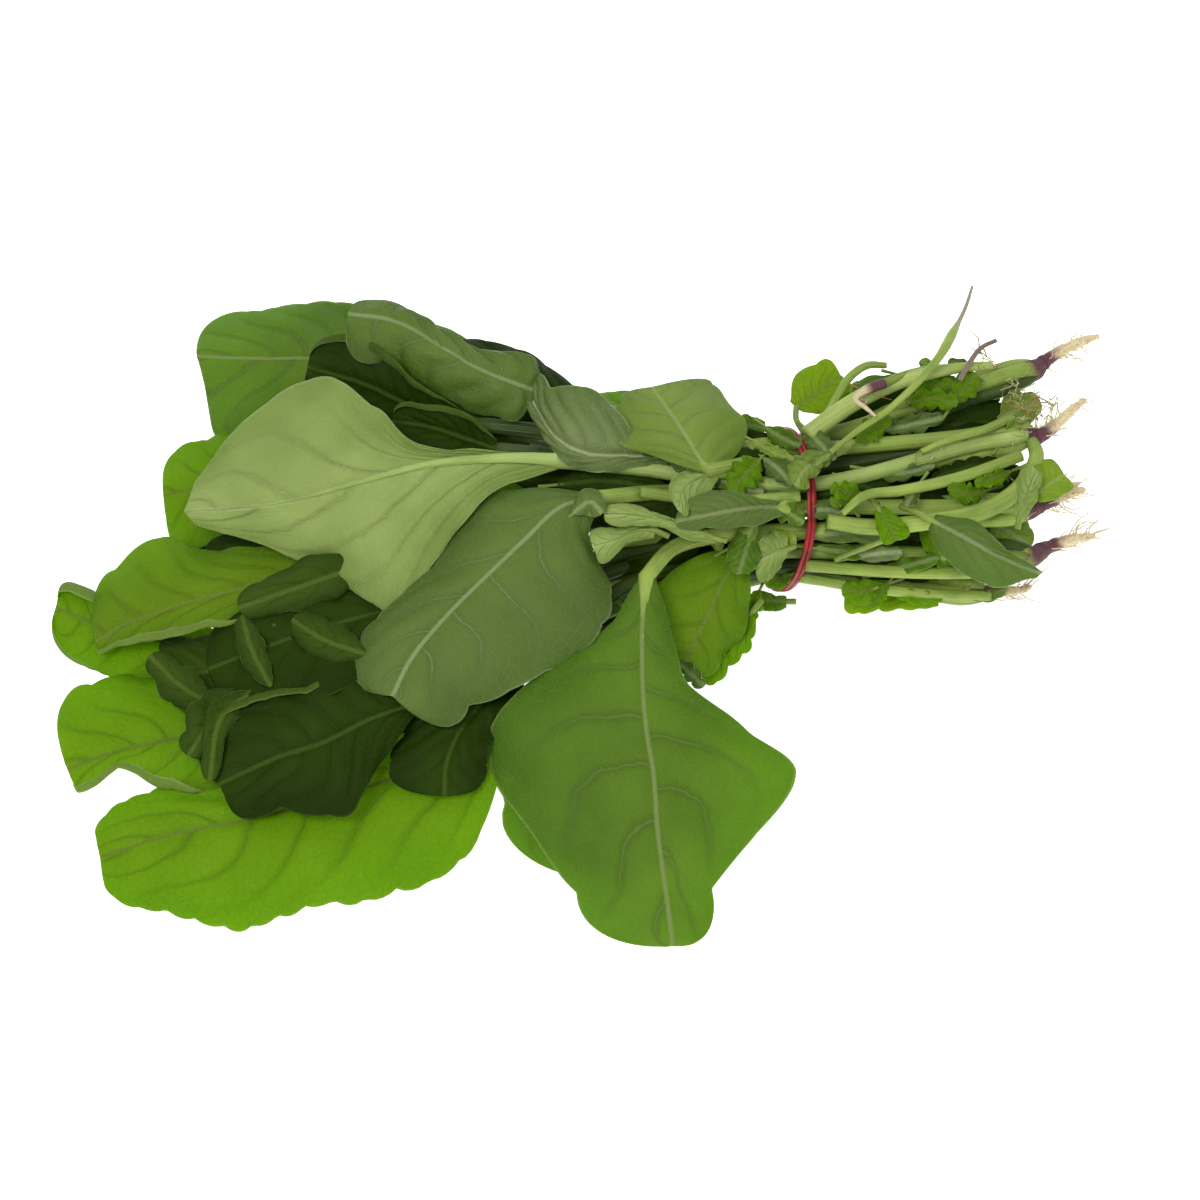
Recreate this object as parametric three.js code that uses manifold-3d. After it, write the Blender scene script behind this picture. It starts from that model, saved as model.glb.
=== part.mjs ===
// A bunch of young broad-leaved arugula with the taproots still on, tied by a red rubber band
// and laid on a table.
// Millimetres, +Z up, roots towards +X, leaves towards -X.
import * as THREE from "three";
import { mergeVertices } from "three/addons/utils/BufferGeometryUtils.js";
import Module from "manifold-3d";

const wasm = await Module();
wasm.setup();

// Places in the leaf list are written as the bunch looks from one standpoint in front of it:
// across to the right, up in the view, and the height above the table.
const VIEW_DISTANCE = 900;
const VIEW_ELEVATION = THREE.MathUtils.degToRad(55);

// The tie
const BAND_CENTRE_ACROSS = 47;
const BAND_CENTRE_UP = 23.6;
const BAND_CENTRE_HEIGHT = 21.2;
const BAND_INNER_RADIUS = 19.95;
const BAND_THICKNESS = 1.5;
const BAND_WIDTH = 3.6;
const BAND_LEAN = 0.4; // how far the near side stands to the right, per millimetre towards the viewer
const BAND_STEPS = 26;

// Stalks pass the tie in four rings, each stalk in a slot of its own
const SLOT_RING_RADIUS = [0, 5.6, 11.2, 16.9];

// Leaves
const STALK_RADIUS = 2.1;
const STALK_FOOT_RADIUS = 1.8;
const TUCKED_STALK_RADIUS = 0.9;
const BLADE_THICKNESS = 0.66;
const RIB_TIP_RADIUS = 0.45;
const RINGS_PER_STATION = 2;
const SCALLOP = 0.035; // share of the half width that the margin goes in and out
const RUFFLE_HEIGHT = 1.1;
const PLAIN_DROOP = 0.2; // share of the rib's height that a plain leaf's margins hang below it
const PLAIN_ARCH = 0.06; // height of a plain leaf's arch, as a share of its length
const PLAIN_STATIONS = [0, 0.2, 0.4, 0.6, 0.8, 1];
const PLAIN_WIDTH = [0.09, 0.42, 0.84, 1, 0.86, 0.06];
const GAP = 0.35; // left between pieces that touch
const SNAP = 0.002; // finished vertices stand on a grid this fine

// Crowns and roots
const SEAT_RADIUS = 4.3; // ring on a crown's face where the stalks start
const ROOT_SIDES = 8;
const STRAND_SIDES = 6;

const toViewer = new THREE.Vector3(0, -Math.cos(VIEW_ELEVATION), Math.sin(VIEW_ELEVATION));
const viewUp = new THREE.Vector3(0, Math.sin(VIEW_ELEVATION), Math.cos(VIEW_ELEVATION));

// The point that is seen at (across, up) and is `height` above the table.
function seen([across, up, height]) {
  const sin = Math.sin(VIEW_ELEVATION);
  const cos = Math.cos(VIEW_ELEVATION);
  const y =
    (up * (1 - (height * sin) / VIEW_DISTANCE) - height * cos) / (sin - (up * cos) / VIEW_DISTANCE);
  const depth = VIEW_DISTANCE + y * cos - height * sin;
  return new THREE.Vector3((across * depth) / VIEW_DISTANCE, y, height);
}

const bandCentre = seen([BAND_CENTRE_ACROSS, BAND_CENTRE_UP, BAND_CENTRE_HEIGHT]);

// A point in the leaning plane of the tie; the angle is 0 towards the viewer and 90 up in the view.
function inBandPlane(radius, degrees) {
  const angle = THREE.MathUtils.degToRad(degrees);
  const near = radius * Math.cos(angle);
  return bandCentre
    .clone()
    .addScaledVector(viewUp, radius * Math.sin(angle))
    .addScaledVector(toViewer, near)
    .add(new THREE.Vector3(BAND_LEAN * near, 0, 0));
}

const slotPoint = ([ring, degrees]) => inBandPlane(SLOT_RING_RADIUS[ring], degrees);

// Crowns: the face that the stalks grow from, and the root behind it with its radii
const crowns = {
  crown_top: {
    at: [109, 58.5, 38],
    root: [[115, 61.5, 38], [121, 65.5, 38], [129.5, 68.3, 37]],
    radii: [6.6, 5.6, 3.4, 2.2, 0.8],
  },
  crown_upper: {
    at: [107, 42, 37],
    root: [[114, 42.5, 37], [119.5, 46.5, 37], [126, 52, 36]],
    radii: [6.8, 6.2, 3.5, 2.1, 0.9],
  },
  crown_middle: {
    at: [107, 23.5, 30],
    root: [[115, 25, 29], [120.5, 27, 28], [126, 29, 27]],
    radii: [6.2, 5.2, 3.0, 1.9, 0.8],
  },
  crown_lower: {
    at: [108, 11.5, 21],
    root: [[116, 13.5, 19], [122, 15.5, 17], [128.5, 17, 15]],
    radii: [6.2, 5.4, 3.2, 2.4, 1.5],
  },
  crown_lowest: {
    at: [95, 2.5, 10],
    root: [[102, 2, 8.5], [107, 2.3, 7], [112, 3.5, 6]],
    radii: [6.0, 5.0, 2.8, 1.9, 0.9],
  },
  crown_far: {
    at: [104, 43, 13],
    root: [[111, 46, 12], [117, 49, 11], [123, 52, 10]],
    radii: [6.2, 5.2, 3.0, 1.9, 0.8],
  },
  crown_under: {
    at: [103, 24, 6.4],
    root: [[110, 26, 5.4], [117, 28, 4], [124, 30, 2.6]],
    radii: [6.6, 5.4, 3.0, 1.9, 0.8],
  },
};

// Leaves, topmost first. `slot` is the ring and angle in the tie, `stalk` the way from there to the blade,
// and rib, left and right are the blade's midrib and margins, from its base to its tip.
const leaves = [
  {
    name: "leaf_broad_olive", crown: "crown_upper", slot: [3, 60],
    stalk: [[38, 35.5, 40]],
    rib: [[28, 33.5, 45], [25, 38.5, 47], [22, 43.5, 47.5], [19, 48, 47], [16, 52, 45], [13.5, 55.3, 43]],
    left: [[26.3, 33.2, 45], [15, 37, 45], [6, 40, 44], [1, 46, 42], [6, 51.5, 42], [12.5, 55, 42.6]],
    right: [
      [29.8, 33.9, 44.6], [36, 38, 42], [38, 45.5, 41],
      [34.5, 50, 41], [29, 56, 38], [16, 55.8, 42.5],
    ],
  },
  {
    name: "leaf_spear", crown: "crown_middle", slot: [3, 0],
    stalk: [],
    rib: [[48, 24, 41], [42, 24.2, 43], [35, 23.5, 44.5], [27, 22, 45], [19.5, 20.5, 44]],
    left: [[48, 22, 40.4], [42, 20, 41], [34, 18.5, 41.5], [27, 18.8, 43], [19.8, 20, 43.6]],
    right: [[48, 25.6, 41], [43, 26, 43], [34, 28.5, 44], [27, 27.5, 45], [20, 21.4, 44.2]],
  },
  {
    name: "leaf_silver_twisted", crown: "crown_top", slot: [3, 80],
    stalk: [[34, 39, 37.5]],
    rib: [[18, 37, 41], [7, 37.5, 43], [-3, 38, 44], [-10, 41, 44], [-15, 47, 42], [-18.5, 54.5, 40]],
    left: [[18, 35.3, 41], [6, 34, 42], [-2, 33, 42], [-9.5, 35.5, 42], [-15.5, 44, 41], [-19.8, 54, 40]],
    right: [[17, 39, 41], [10, 42, 44], [4, 50, 46], [-5, 55.5, 47], [-13, 55, 44], [-17.6, 56, 40.5]],
  },
  {
    name: "leaf_top_pale", crown: "crown_upper", slot: [3, 20], shows: "under", tip: 0,
    stalk: [[34, 30.5, 38.5], [12, 34, 40.5]],
    rib: [
      [-11, 36.2, 42.5], [-28, 36.3, 45], [-44, 35, 45], [-60, 31, 43],
      [-76, 26.5, 38], [-92, 24, 31], [-108, 23, 23],
    ],
    left: [
      [-11, 34, 42], [-28.5, 27.5, 41.5], [-41.5, 12, 34], [-54, -2.6, 26],
      [-69, 5.5, 27], [-87, 14, 25.5], [-105, 19.4, 22],
    ],
    right: [
      [-12, 38, 42.5], [-30, 38.8, 45], [-47, 40.5, 45], [-58, 50, 43],
      [-73, 58, 38], [-92, 47, 31], [-105, 31, 23],
    ],
  },
  {
    name: "leaf_dark_centre", crown: "crown_upper", slot: [2, 30],
    stalk: [[32, 28, 33.4], [15, 28, 37.8]],
    rib: [
      [-1, 26.5, 42], [-10, 24.5, 43], [-20, 15.5, 40], [-30, 6, 36],
      [-40, -4, 31.5], [-49, -15, 27], [-54, -25, 22.5],
    ],
    left: [
      [0, 24.4, 41.5], [-3, 16, 38.5], [3, 2, 33], [-1, -10, 29],
      [-16, -20, 25], [-34, -27.5, 22], [-51, -27.8, 21.5],
    ],
    right: [
      [-3, 28, 42], [-16, 29, 41], [-32, 26, 36.5], [-43, 9, 30],
      [-57, -3.5, 28], [-63, -13, 25], [-57.5, -24.5, 22],
    ],
  },
  {
    name: "leaf_front_big", crown: "crown_middle", slot: [3, -20],
    stalk: [[32, 17, 34], [19, 13.5, 36]],
    rib: [
      [12, 6, 36], [11, -8, 32], [11, -20, 27], [12, -33, 21.5],
      [14, -46, 16], [15, -60, 10.5], [17, -75, 5.5], [19, -90, 1.2],
    ],
    left: [
      [14.5, 5.5, 35.5], [18, -6, 30], [22, -20, 24], [38, -33.5, 13],
      [51, -45, 6], [42, -59, 3.5], [29, -75, 2], [21, -90, 0.8],
    ],
    right: [
      [9.6, 5, 35.5], [2, -7, 29.5], [-9, -15, 24], [-27, -30, 15],
      [-28.5, -44, 8.5], [-19, -59, 4.5], [-6, -76, 2], [16, -90, 0.8],
    ],
  },
  {
    name: "leaf_curled_grey", crown: "crown_top", slot: [3, 100],
    stalk: [[28, 45, 33], [2, 48.5, 35]],
    rib: [
      [-15.5, 54, 40.6], [-21, 56, 43], [-32, 60.5, 46],
      [-42, 66.5, 48], [-53, 72.5, 47], [-65.5, 74.5, 41],
    ],
    left: [
      [-16.5, 52.3, 40], [-21.5, 47, 38], [-32, 48.7, 37],
      [-43, 54.5, 37.5], [-54, 61.5, 38], [-66, 69, 40],
    ],
    right: [
      [-15, 55.8, 41], [-18, 63.5, 43], [-31, 65, 43],
      [-43, 71.5, 44], [-50, 75.6, 45], [-64, 77, 40.5],
    ],
  },
  {
    name: "leaf_round_bright", crown: "crown_lower", slot: [3, -40],
    stalk: [],
    rib: [[38, 13, 28], [33, 6.5, 27], [29, -2, 24], [25, -10, 19], [21.5, -18.5, 14]],
    left: [[38.6, 11, 27], [39, 0, 21], [37.5, -8, 17], [32, -14.5, 14], [23.5, -18.8, 13.5]],
    right: [[35.5, 13.8, 28.5], [24, 11, 29], [15, 3, 26.5], [14, -6, 22], [19, -17.5, 14.5]],
  },
  {
    name: "leaf_cupped_light", crown: "crown_top", slot: [2, 90],
    stalk: [[20, 38, 31], [-8, 43, 34]],
    rib: [[-35, 46, 35], [-48, 50, 32.5], [-61, 56, 28.5], [-76, 60.5, 25]],
    left: [[-36, 43.5, 34.8], [-52, 44, 33], [-66, 50, 29], [-76, 58.5, 24.5]],
    right: [[-34.5, 48.5, 35.3], [-48, 57, 37.5], [-60, 67, 36], [-75.5, 62.5, 26]],
  },
  {
    name: "leaf_small_cup", crown: "crown_upper", slot: [2, 60],
    stalk: [[22, 34.5, 33], [-5, 37, 35.5]],
    rib: [[-26, 39, 38.5], [-35, 42, 38], [-44, 45, 36.5], [-54, 46.5, 34.5]],
    left: [[-26.5, 36.8, 38.5], [-36, 36.5, 38], [-46, 39.5, 36.5], [-54, 45, 34.5]],
    right: [[-26.5, 41.2, 38.8], [-34, 48, 40.5], [-45, 50.5, 38.5], [-53.5, 48, 35]],
  },
  {
    name: "leaf_left_folded", crown: "crown_middle", slot: [2, 0],
    stalk: [[16, 17, 29], [-20, 13.5, 28.5], [-48, 11.8, 26.5]],
    rib: [
      [-67, 10.5, 25], [-80, 7.5, 22.5], [-92, 3.5, 20], [-104, 0.5, 17],
      [-115, -3, 14], [-124, -6.5, 11], [-131, -10.8, 7.5],
    ],
    left: [
      [-67, 8.6, 24.5], [-81, 0, 19], [-93, -5.5, 16], [-104, -8, 13],
      [-115, -10.5, 10], [-125, -11.8, 8], [-130.5, -11.6, 7],
    ],
    right: [
      [-67, 12.5, 25], [-81, 14, 21], [-94, 13.5, 18], [-104, 13, 15],
      [-114, 16.5, 12], [-126, 8, 8.5], [-131.8, -8.5, 6.8],
    ],
  },
  {
    name: "leaf_dark_behind", crown: "crown_middle", slot: [1, 0],
    stalk: [[16, 21.5, 26], [-20, 19, 26.5]],
    rib: [[-46, 17.5, 24.5], [-60, 16, 22], [-75, 14.5, 18.5], [-90, 13, 15], [-103, 11, 11]],
    left: [[-46, 15.4, 24.3], [-60, 5, 20], [-75, 4.5, 16.5], [-90, 6.5, 13.5], [-103, 9.4, 10.8]],
    right: [[-46, 19.4, 24.5], [-61, 23, 22], [-76, 21.5, 18.5], [-91, 18, 15], [-102.6, 12.6, 11.2]],
  },
  {
    name: "leaf_dark_folded", crown: "crown_lower", slot: [2, -60],
    stalk: [[16, 8, 20.5], [-14, -9, 20.5], [-34, -20, 19.5]],
    rib: [[-48, -27, 18.6], [-60, -31, 19.4], [-72, -37, 18.4], [-84, -41, 15.5], [-99, -48, 10]],
    left: [[-47.5, -29, 18.4], [-58, -44, 16], [-66, -56, 13], [-83, -54, 11.5], [-97, -50.5, 9.6]],
    right: [[-49, -25, 18.8], [-62, -19, 20.4], [-76, -22, 20.4], [-92, -26, 16.5], [-103, -45, 10]],
  },
  {
    name: "leaf_dark_low", crown: "crown_lower", slot: [3, -60],
    stalk: [[18, -1, 17.5], [-8, -13, 17]],
    rib: [[-24, -19, 16.5], [-31, -27, 16.5], [-37, -35, 15.4], [-40, -43, 13.6], [-40.5, -51, 11.6]],
    left: [
      [-22.5, -20.5, 16.4], [-24, -29, 15.6], [-27.5, -36, 14],
      [-30, -43, 12.2], [-37, -50.5, 11.2],
    ],
    right: [[-26, -17.6, 16.5], [-40, -24, 16], [-50, -33, 14.6], [-54, -42, 13], [-45, -50.5, 11.6]],
  },
  {
    name: "leaf_narrow_folded", crown: "crown_lower", slot: [1, -60],
    stalk: [[16, 12, 20.5], [-22, -1, 21.5], [-52, -10, 21.5]],
    rib: [[-68, -15, 21], [-78, -14, 20.5], [-86, -11.5, 19], [-93, -6, 16.8]],
    left: [[-68.5, -17, 20.6], [-79, -20.5, 17.5], [-88, -19, 15.5], [-94.3, -9, 15]],
    right: [[-67.5, -13, 21], [-77, -9, 21.5], [-85, -6, 20.5], [-91.5, -4.4, 17.5]],
  },
  {
    name: "leaf_left_lobed", crown: "crown_under", slot: [1, -120],
    stalk: [[16, 12, 14], [-25, 2, 14.5], [-60, -9, 14]],
    rib: [[-82, -15, 14], [-92, -17, 13.5], [-102, -18.5, 12], [-112, -20, 9.5]],
    left: [[-82, -17, 13.8], [-91, -29, 12], [-102, -28, 10.5], [-110.5, -24, 8.8]],
    right: [[-82, -13, 14], [-94, -9.5, 13], [-106, -10, 11], [-114, -15, 9]],
  },
  {
    name: "leaf_top_left_bright", crown: "crown_top", slot: [3, 120],
    stalk: [[16, 45, 23], [-15, 53, 23]],
    rib: [[-46, 58, 22], [-60, 61, 22], [-74, 63, 20.5], [-88, 63, 16.5], [-104.8, 63.4, 8]],
    left: [[-46, 55.5, 21.8], [-63, 47, 20.5], [-78, 44, 17.5], [-92, 43, 12], [-100.5, 54, 6.5]],
    right: [[-46, 60.4, 22], [-57, 75, 15], [-72, 77.5, 12], [-88, 75, 9], [-104.8, 65.5, 6]],
  },
  {
    name: "leaf_left_bright", crown: "crown_far", slot: [2, 150],
    stalk: [[16, 36.5, 16], [-22, 37.5, 16.5]],
    rib: [[-54, 35, 16.5], [-70, 34.5, 15.5], [-86, 33, 13], [-100, 30.5, 9], [-113.5, 27, 3.5]],
    left: [[-54, 32.6, 16.2], [-70, 18, 12.5], [-86, 13.5, 9], [-101, 15, 5.5], [-112.5, 22, 2.8]],
    right: [[-54, 37.4, 16.4], [-70, 49, 14], [-88, 49, 11], [-102, 41.5, 7], [-113.5, 30.5, 3]],
  },
  {
    name: "leaf_far_left", crown: "crown_lowest", slot: [2, -120],
    stalk: [[16, 8, 10.5], [-25, 0, 9.5], [-65, -9, 8.5]],
    rib: [[-96, -13, 8], [-112, -11, 6.5], [-128, -7, 4.5], [-141.5, -2, 2.2]],
    left: [[-96, -15.4, 7.8], [-113, -24, 4.5], [-131, -18, 3], [-142, -4.5, 1.8]],
    right: [[-96, -10.8, 7.8], [-112, -1, 4.5], [-129, 1, 3], [-140.4, 1.4, 2]],
  },
  {
    name: "leaf_bottom_bright", crown: "crown_lowest", slot: [3, -80], tip: 0.4,
    stalk: [[20, -4, 12], [-6, -22, 10.5]],
    rib: [
      [-24, -37, 9.6], [-40, -43, 9], [-58, -47.5, 8.4], [-76, -53, 7.4],
      [-94, -57.5, 6], [-112, -61, 4.4], [-130, -67, 2.2],
    ],
    left: [
      [-23.4, -39.4, 9.2], [-36, -68, 3], [-56, -77, 1.2], [-76, -80, 1.6],
      [-93, -85.5, 1.2], [-112, -81, 1.6], [-129, -73, 1.4],
    ],
    right: [
      [-26, -35.2, 9.6], [-46, -34, 7.6], [-64, -38, 6.6], [-82, -43, 5.6],
      [-100, -47, 4.4], [-119, -50.5, 3.4], [-131, -61, 2],
    ],
  },
  {
    name: "leaf_left_low", crown: "crown_lowest", slot: [2, -90],
    stalk: [[16, 3, 14], [-20, -12, 12.5], [-55, -25, 11.5]],
    rib: [[-82, -32, 10.5], [-97, -34, 9], [-111, -36, 7], [-125, -39, 5], [-138.5, -44, 2.6]],
    left: [[-82, -34.4, 10.2], [-97, -48, 5], [-111, -49.5, 3.5], [-125, -43.5, 4.5], [-136, -49, 1.8]],
    right: [[-82, -29.8, 10.4], [-98, -21.5, 7.5], [-114, -19, 5.5], [-132, -22, 3], [-139.6, -40, 2]],
  },
];

// Leaves on the far side and underneath, on plain outlines: the blade's base, tip and half width
const plainLeaves = [
  {
    name: "leaf_dark_middle", crown: "crown_lower", slot: [2, -30],
    from: [-34, -16, 25], to: [-98, -33, 17], half: 19, droop: 0.03,
  },
  {
    name: "leaf_back_upper", crown: "crown_far", slot: [1, 120],
    from: [4, 38, 29], to: [-58, 58, 23], half: 15, droop: 0.05,
  },
  {
    name: "leaf_back_left", crown: "crown_top", slot: [2, 120],
    from: [-16, 46, 21], to: [-84, 80, 2], half: 21,
  },
  {
    name: "leaf_back_right", crown: "crown_far", slot: [3, 140],
    from: [24, 40, 17], to: [-8, 60, 4], half: 11,
  },
  {
    name: "leaf_back_middle", crown: "crown_far", slot: [3, 160],
    from: [-4, 42, 9], to: [-62, 70, 1], half: 16,
  },
  {
    name: "leaf_floor_far", crown: "crown_under", slot: [3, 180],
    from: [-14, 32, 6], to: [-92, 50, 0.8], half: 24,
  },
  {
    name: "leaf_floor_middle", crown: "crown_under", slot: [2, 180],
    from: [-20, 16, 7], to: [-108, 10, 0.8], half: 25,
  },
  {
    name: "leaf_floor_near", crown: "crown_under", slot: [3, -160],
    from: [-10, 2, 5], to: [-88, -38, 0.8], half: 24,
  },
  {
    name: "leaf_front_low", crown: "crown_lowest", slot: [3, -100],
    from: [14, -16, 8], to: [-5, -84, 0.8], half: 27,
  },
  {
    name: "leaf_inner_far", crown: "crown_upper", slot: [1, 60],
    from: [-18, 30, 31], to: [-84, 44, 22], half: 22,
  },
];

// Small leaves and seedlings tucked in beside the tie and among the stalks. They have no stalk
// of their own through the tie: `stalk` is the whole of it.
const tuckedLeaves = [
  {
    name: "leaf_pale_upright", shows: "under",
    stalk: [[37, 32, 41.5]],
    rib: [[31, 32.4, 43], [26, 31.5, 45], [21.5, 28.5, 46.4], [20.2, 23.5, 46.8]],
    left: [[30.6, 31, 43], [27, 27, 45], [23.5, 24.8, 46.4], [21, 23, 46.6]],
    right: [[31, 33.8, 43], [25, 34.5, 45], [19, 31.5, 46.4], [19.3, 25, 46.8]],
  },
  {
    name: "leaf_ribbon", shows: "under",
    stalk: [[33, 15.4, 40.5]],
    rib: [[30, 16, 41], [24, 17.8, 42], [16, 20.5, 43], [8, 22, 43.4], [1, 22.4, 43]],
    left: [[30, 14.8, 41], [24, 15.6, 42], [16, 18.8, 43], [9, 19.4, 43], [1.2, 20.8, 42.6]],
    right: [[30, 17, 41], [24, 19.2, 42.4], [17, 22, 43.6], [10, 24.2, 44], [1.4, 24.2, 43.4]],
  },
  {
    name: "leaf_pale_curl", shows: "under",
    stalk: [[18, 16.5, 38.5]],
    rib: [[14.5, 18, 39.5], [9, 17.8, 40.6], [4, 15.5, 40.6], [-2, 13.8, 40]],
    left: [[14, 16.2, 39], [9, 15.4, 40], [4, 11.8, 39.6], [-0.5, 10.8, 39.4]],
    right: [[15, 19.6, 39.8], [9.5, 20, 41.2], [4, 18.6, 41.4], [-2.8, 16.8, 40.6]],
  },
  {
    name: "leaf_pale_edge",
    stalk: [[42, 22, 36]],
    rib: [[40, 19, 35.5], [38, 13, 34], [36, 6.6, 31]],
    left: [[41.2, 18.4, 35], [41.4, 12, 33], [37.4, 6.8, 31]],
    right: [[37.4, 19.4, 35.6], [33.6, 13, 34], [34.8, 7, 31]],
  },
  {
    name: "leaf_beside_tie_top",
    stalk: [[44.4, 44, 34]],
    rib: [[42.8, 44.6, 34.4], [40, 45.4, 34.4], [36.5, 45.5, 34]],
    left: [[42.6, 42.8, 34.2], [39.8, 42.8, 34], [36.8, 43.8, 33.8]],
    right: [[43, 46.2, 34.6], [40, 47.8, 34.8], [36.8, 47.4, 34]],
  },
  {
    name: "leaf_beside_tie_low", shows: "under",
    stalk: [[50.6, 14, 32]],
    rib: [[48.8, 13.6, 33], [45, 12.4, 33], [40, 9.5, 31]],
    left: [[48.6, 11.4, 31.6], [46, 7.5, 30], [40.6, 6.6, 29.6]],
    right: [[48.8, 16.6, 35], [45, 17, 35.4], [39.6, 12, 32]],
  },
  {
    name: "leaf_beside_tie_bottom",
    stalk: [[51, -0.4, 6.4]],
    rib: [[48.6, -0.4, 6.4], [45.2, -0.4, 6.4], [41, 0, 6.6]],
    left: [[48.4, -2, 5.8], [45, -2.8, 5.6], [41.4, -1.6, 6]],
    right: [[48.4, 1, 6.8], [45, 1.6, 7], [41, 1.6, 7]],
  },
  {
    name: "leaf_toothed_low", scallop: 0.16,
    stalk: [[42, 0, 17]],
    rib: [[39.5, -3, 16.4], [35.5, -9, 14.6], [31, -14.5, 11.6], [26.5, -20, 8]],
    left: [[41, -4.4, 16], [39, -12, 13], [34, -17.5, 10], [27, -21.5, 7.6]],
    right: [[37.6, -2, 16.4], [32, -7, 14.4], [26, -13.5, 11.4], [24, -20.4, 8]],
  },
  {
    name: "leaf_over_tie", scallop: 0.14,
    stalk: [[64, 39, 42.5]],
    rib: [[60, 37.2, 43.6], [56, 36, 44.6], [52.5, 33, 44.8], [51, 29.5, 44]],
    left: [[60, 35.8, 43.4], [57.5, 33.6, 44.2], [54.6, 31, 44.4], [51.8, 29.2, 43.8]],
    right: [[59.6, 38.8, 43.6], [54, 38.8, 44.4], [49.6, 36.5, 44.4], [50, 30, 44]],
  },
  {
    name: "leaf_round_top",
    stalk: [[53, 43.4, 36.5], [51, 47, 37]],
    rib: [[51, 50, 37], [54, 52.6, 38], [58, 55.5, 38.6], [62.5, 58.5, 38.6]],
    left: [[49.4, 51.6, 37], [50.8, 58, 38], [56, 61.2, 38.6], [61.5, 60, 38.6]],
    right: [[52.8, 48.8, 37], [58.6, 48.8, 37.6], [63, 52.8, 38.2], [64, 57, 38.4]],
  },
  {
    name: "leaf_dark_pointed", tip: 0,
    stalk: [[78, 24.5, 37], [82, 23, 38]],
    rib: [[86.5, 20.5, 38.4], [94, 16.8, 38.6], [103, 11.8, 37], [114.5, 6.8, 32]],
    left: [[87.4, 22.2, 38.4], [97, 20.4, 38.4], [106.5, 12.4, 35.5], [114.9, 7.4, 32]],
    right: [[85.4, 18.6, 38], [90, 10.5, 35.5], [101, 3.6, 33], [113.4, 5.8, 31.6]],
  },
  {
    name: "leaf_light_right",
    stalk: [[110.5, 23.5, 38.6]],
    rib: [[113, 26.4, 39], [116, 29.6, 39], [120.6, 32.6, 38]],
    left: [[111.8, 27.6, 39], [113.6, 34.6, 39], [119.2, 34.8, 38]],
    right: [[114.4, 25.4, 39], [120.4, 27.2, 38], [121.8, 31, 37.4]],
  },
  {
    name: "leaf_pale_right", shows: "under",
    stalk: [[108.5, 18.5, 38.4]],
    rib: [[109.2, 21.6, 40], [110.8, 27, 42], [113.2, 34, 42]],
    left: [[107.6, 22, 40], [108.4, 29, 42], [112, 35.4, 42]],
    right: [[111, 21.2, 40], [113.2, 26.6, 41.8], [114.2, 33, 41.6]],
  },
  {
    name: "leaf_yellow_low", scallop: 0.1,
    stalk: [[92, 0.2, 5.6]],
    rib: [[88, 0.5, 6], [80, 1.2, 6.6], [72, 1.4, 6.6], [63.5, 0.6, 6]],
    left: [[88, -1.6, 5.6], [79.6, -2.6, 5.8], [70.6, -2.8, 5.8], [63.6, -1.4, 5.6]],
    right: [[88, 2.4, 6.4], [79.4, 4.8, 7.4], [70.4, 5.4, 7.4], [63.8, 3, 6.6]],
  },
  {
    name: "leaf_seed_leaf",
    stalk: [[70.5, 26.4, 38.8]],
    rib: [[72.4, 23.6, 39.8], [75.2, 19.8, 40.4], [77, 15.4, 39.4]],
    left: [[74, 24.4, 39.8], [79, 20.2, 40.2], [78.6, 15.8, 39.2]],
    right: [[71.2, 22.4, 39.6], [72.6, 17.8, 39.8], [75.6, 14.8, 39.2]],
  },
];

// Bare stalks and seedling roots that lie on the bundle: the middle line and the radii along it
const strands = [
  {
    name: "stalk_cut_thick", colour: "stalk", radii: [2.5, 2.4, 2.2, 2.0, 1.8],
    line: [[54, 43, 41.2], [67, 52, 43.8], [80, 57.5, 45], [94, 60.4, 45], [102, 61, 44.6]],
  },
  {
    name: "seedling_stem", colour: "stalk", radii: [1.0, 1.1, 1.2, 1.3, 1.5, 1.9, 0.9, 0.5],
    line: [
      [60, 38.5, 47], [67, 44, 46.6], [75, 49.5, 47.4], [83, 57, 49.6],
      [88, 63, 50.4], [91.5, 69, 49.4], [95, 76, 45], [96.8, 81.5, 43],
    ],
  },
  {
    name: "seedling_root", colour: "root", radii: [1.3, 1.8, 1.7, 1.1, 0.8, 0.5],
    line: [
      [77.5, 58.5, 49.4], [73, 56, 49.6], [69, 54.4, 49.4],
      [66.6, 52.4, 49], [69.5, 49.8, 49], [72, 47.6, 49.2],
    ],
  },
];

// A closed curve's solid for cutting, joining and the final mesh
function solidFrom(vertices, faces) {
  const geometry = new THREE.BufferGeometry();
  const numbers = vertices.flatMap((v) => v.toArray());
  geometry.setAttribute("position", new THREE.Float32BufferAttribute(numbers, 3));
  geometry.setIndex(faces.flat());
  const merged = mergeVertices(geometry, 1e-3);
  const triVerts = [];
  const index = merged.index.array;
  for (let i = 0; i < index.length; i += 3) {
    const [a, b, c] = [index[i], index[i + 1], index[i + 2]];
    if (a !== b && b !== c && a !== c) triVerts.push(a, b, c);
  }
  const make = (order) =>
    new wasm.Manifold(
      new wasm.Mesh({
        numProp: 3,
        vertProperties: new Float32Array(merged.attributes.position.array),
        triVerts: new Uint32Array(order),
      }),
    );
  const made = make(triVerts);
  return made.volume() >= 0 ? made : make(triVerts.reverse());
}

// Blade cross-section: columns over the upper face from left to right, then back along the under face.
// A narrow section, on the stalk and at the tip, has seven corners that stand for the thirteen.
const NARROW_CORNER = [0, 0, 1, 2, 3, 3, 4, 4, 4, 5, 6, 6, 6];
const NARROW_ANGLE = [167, 116, 64, 13, -39, -90, 219];
const UPPER_COLUMNS = 6;

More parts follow.
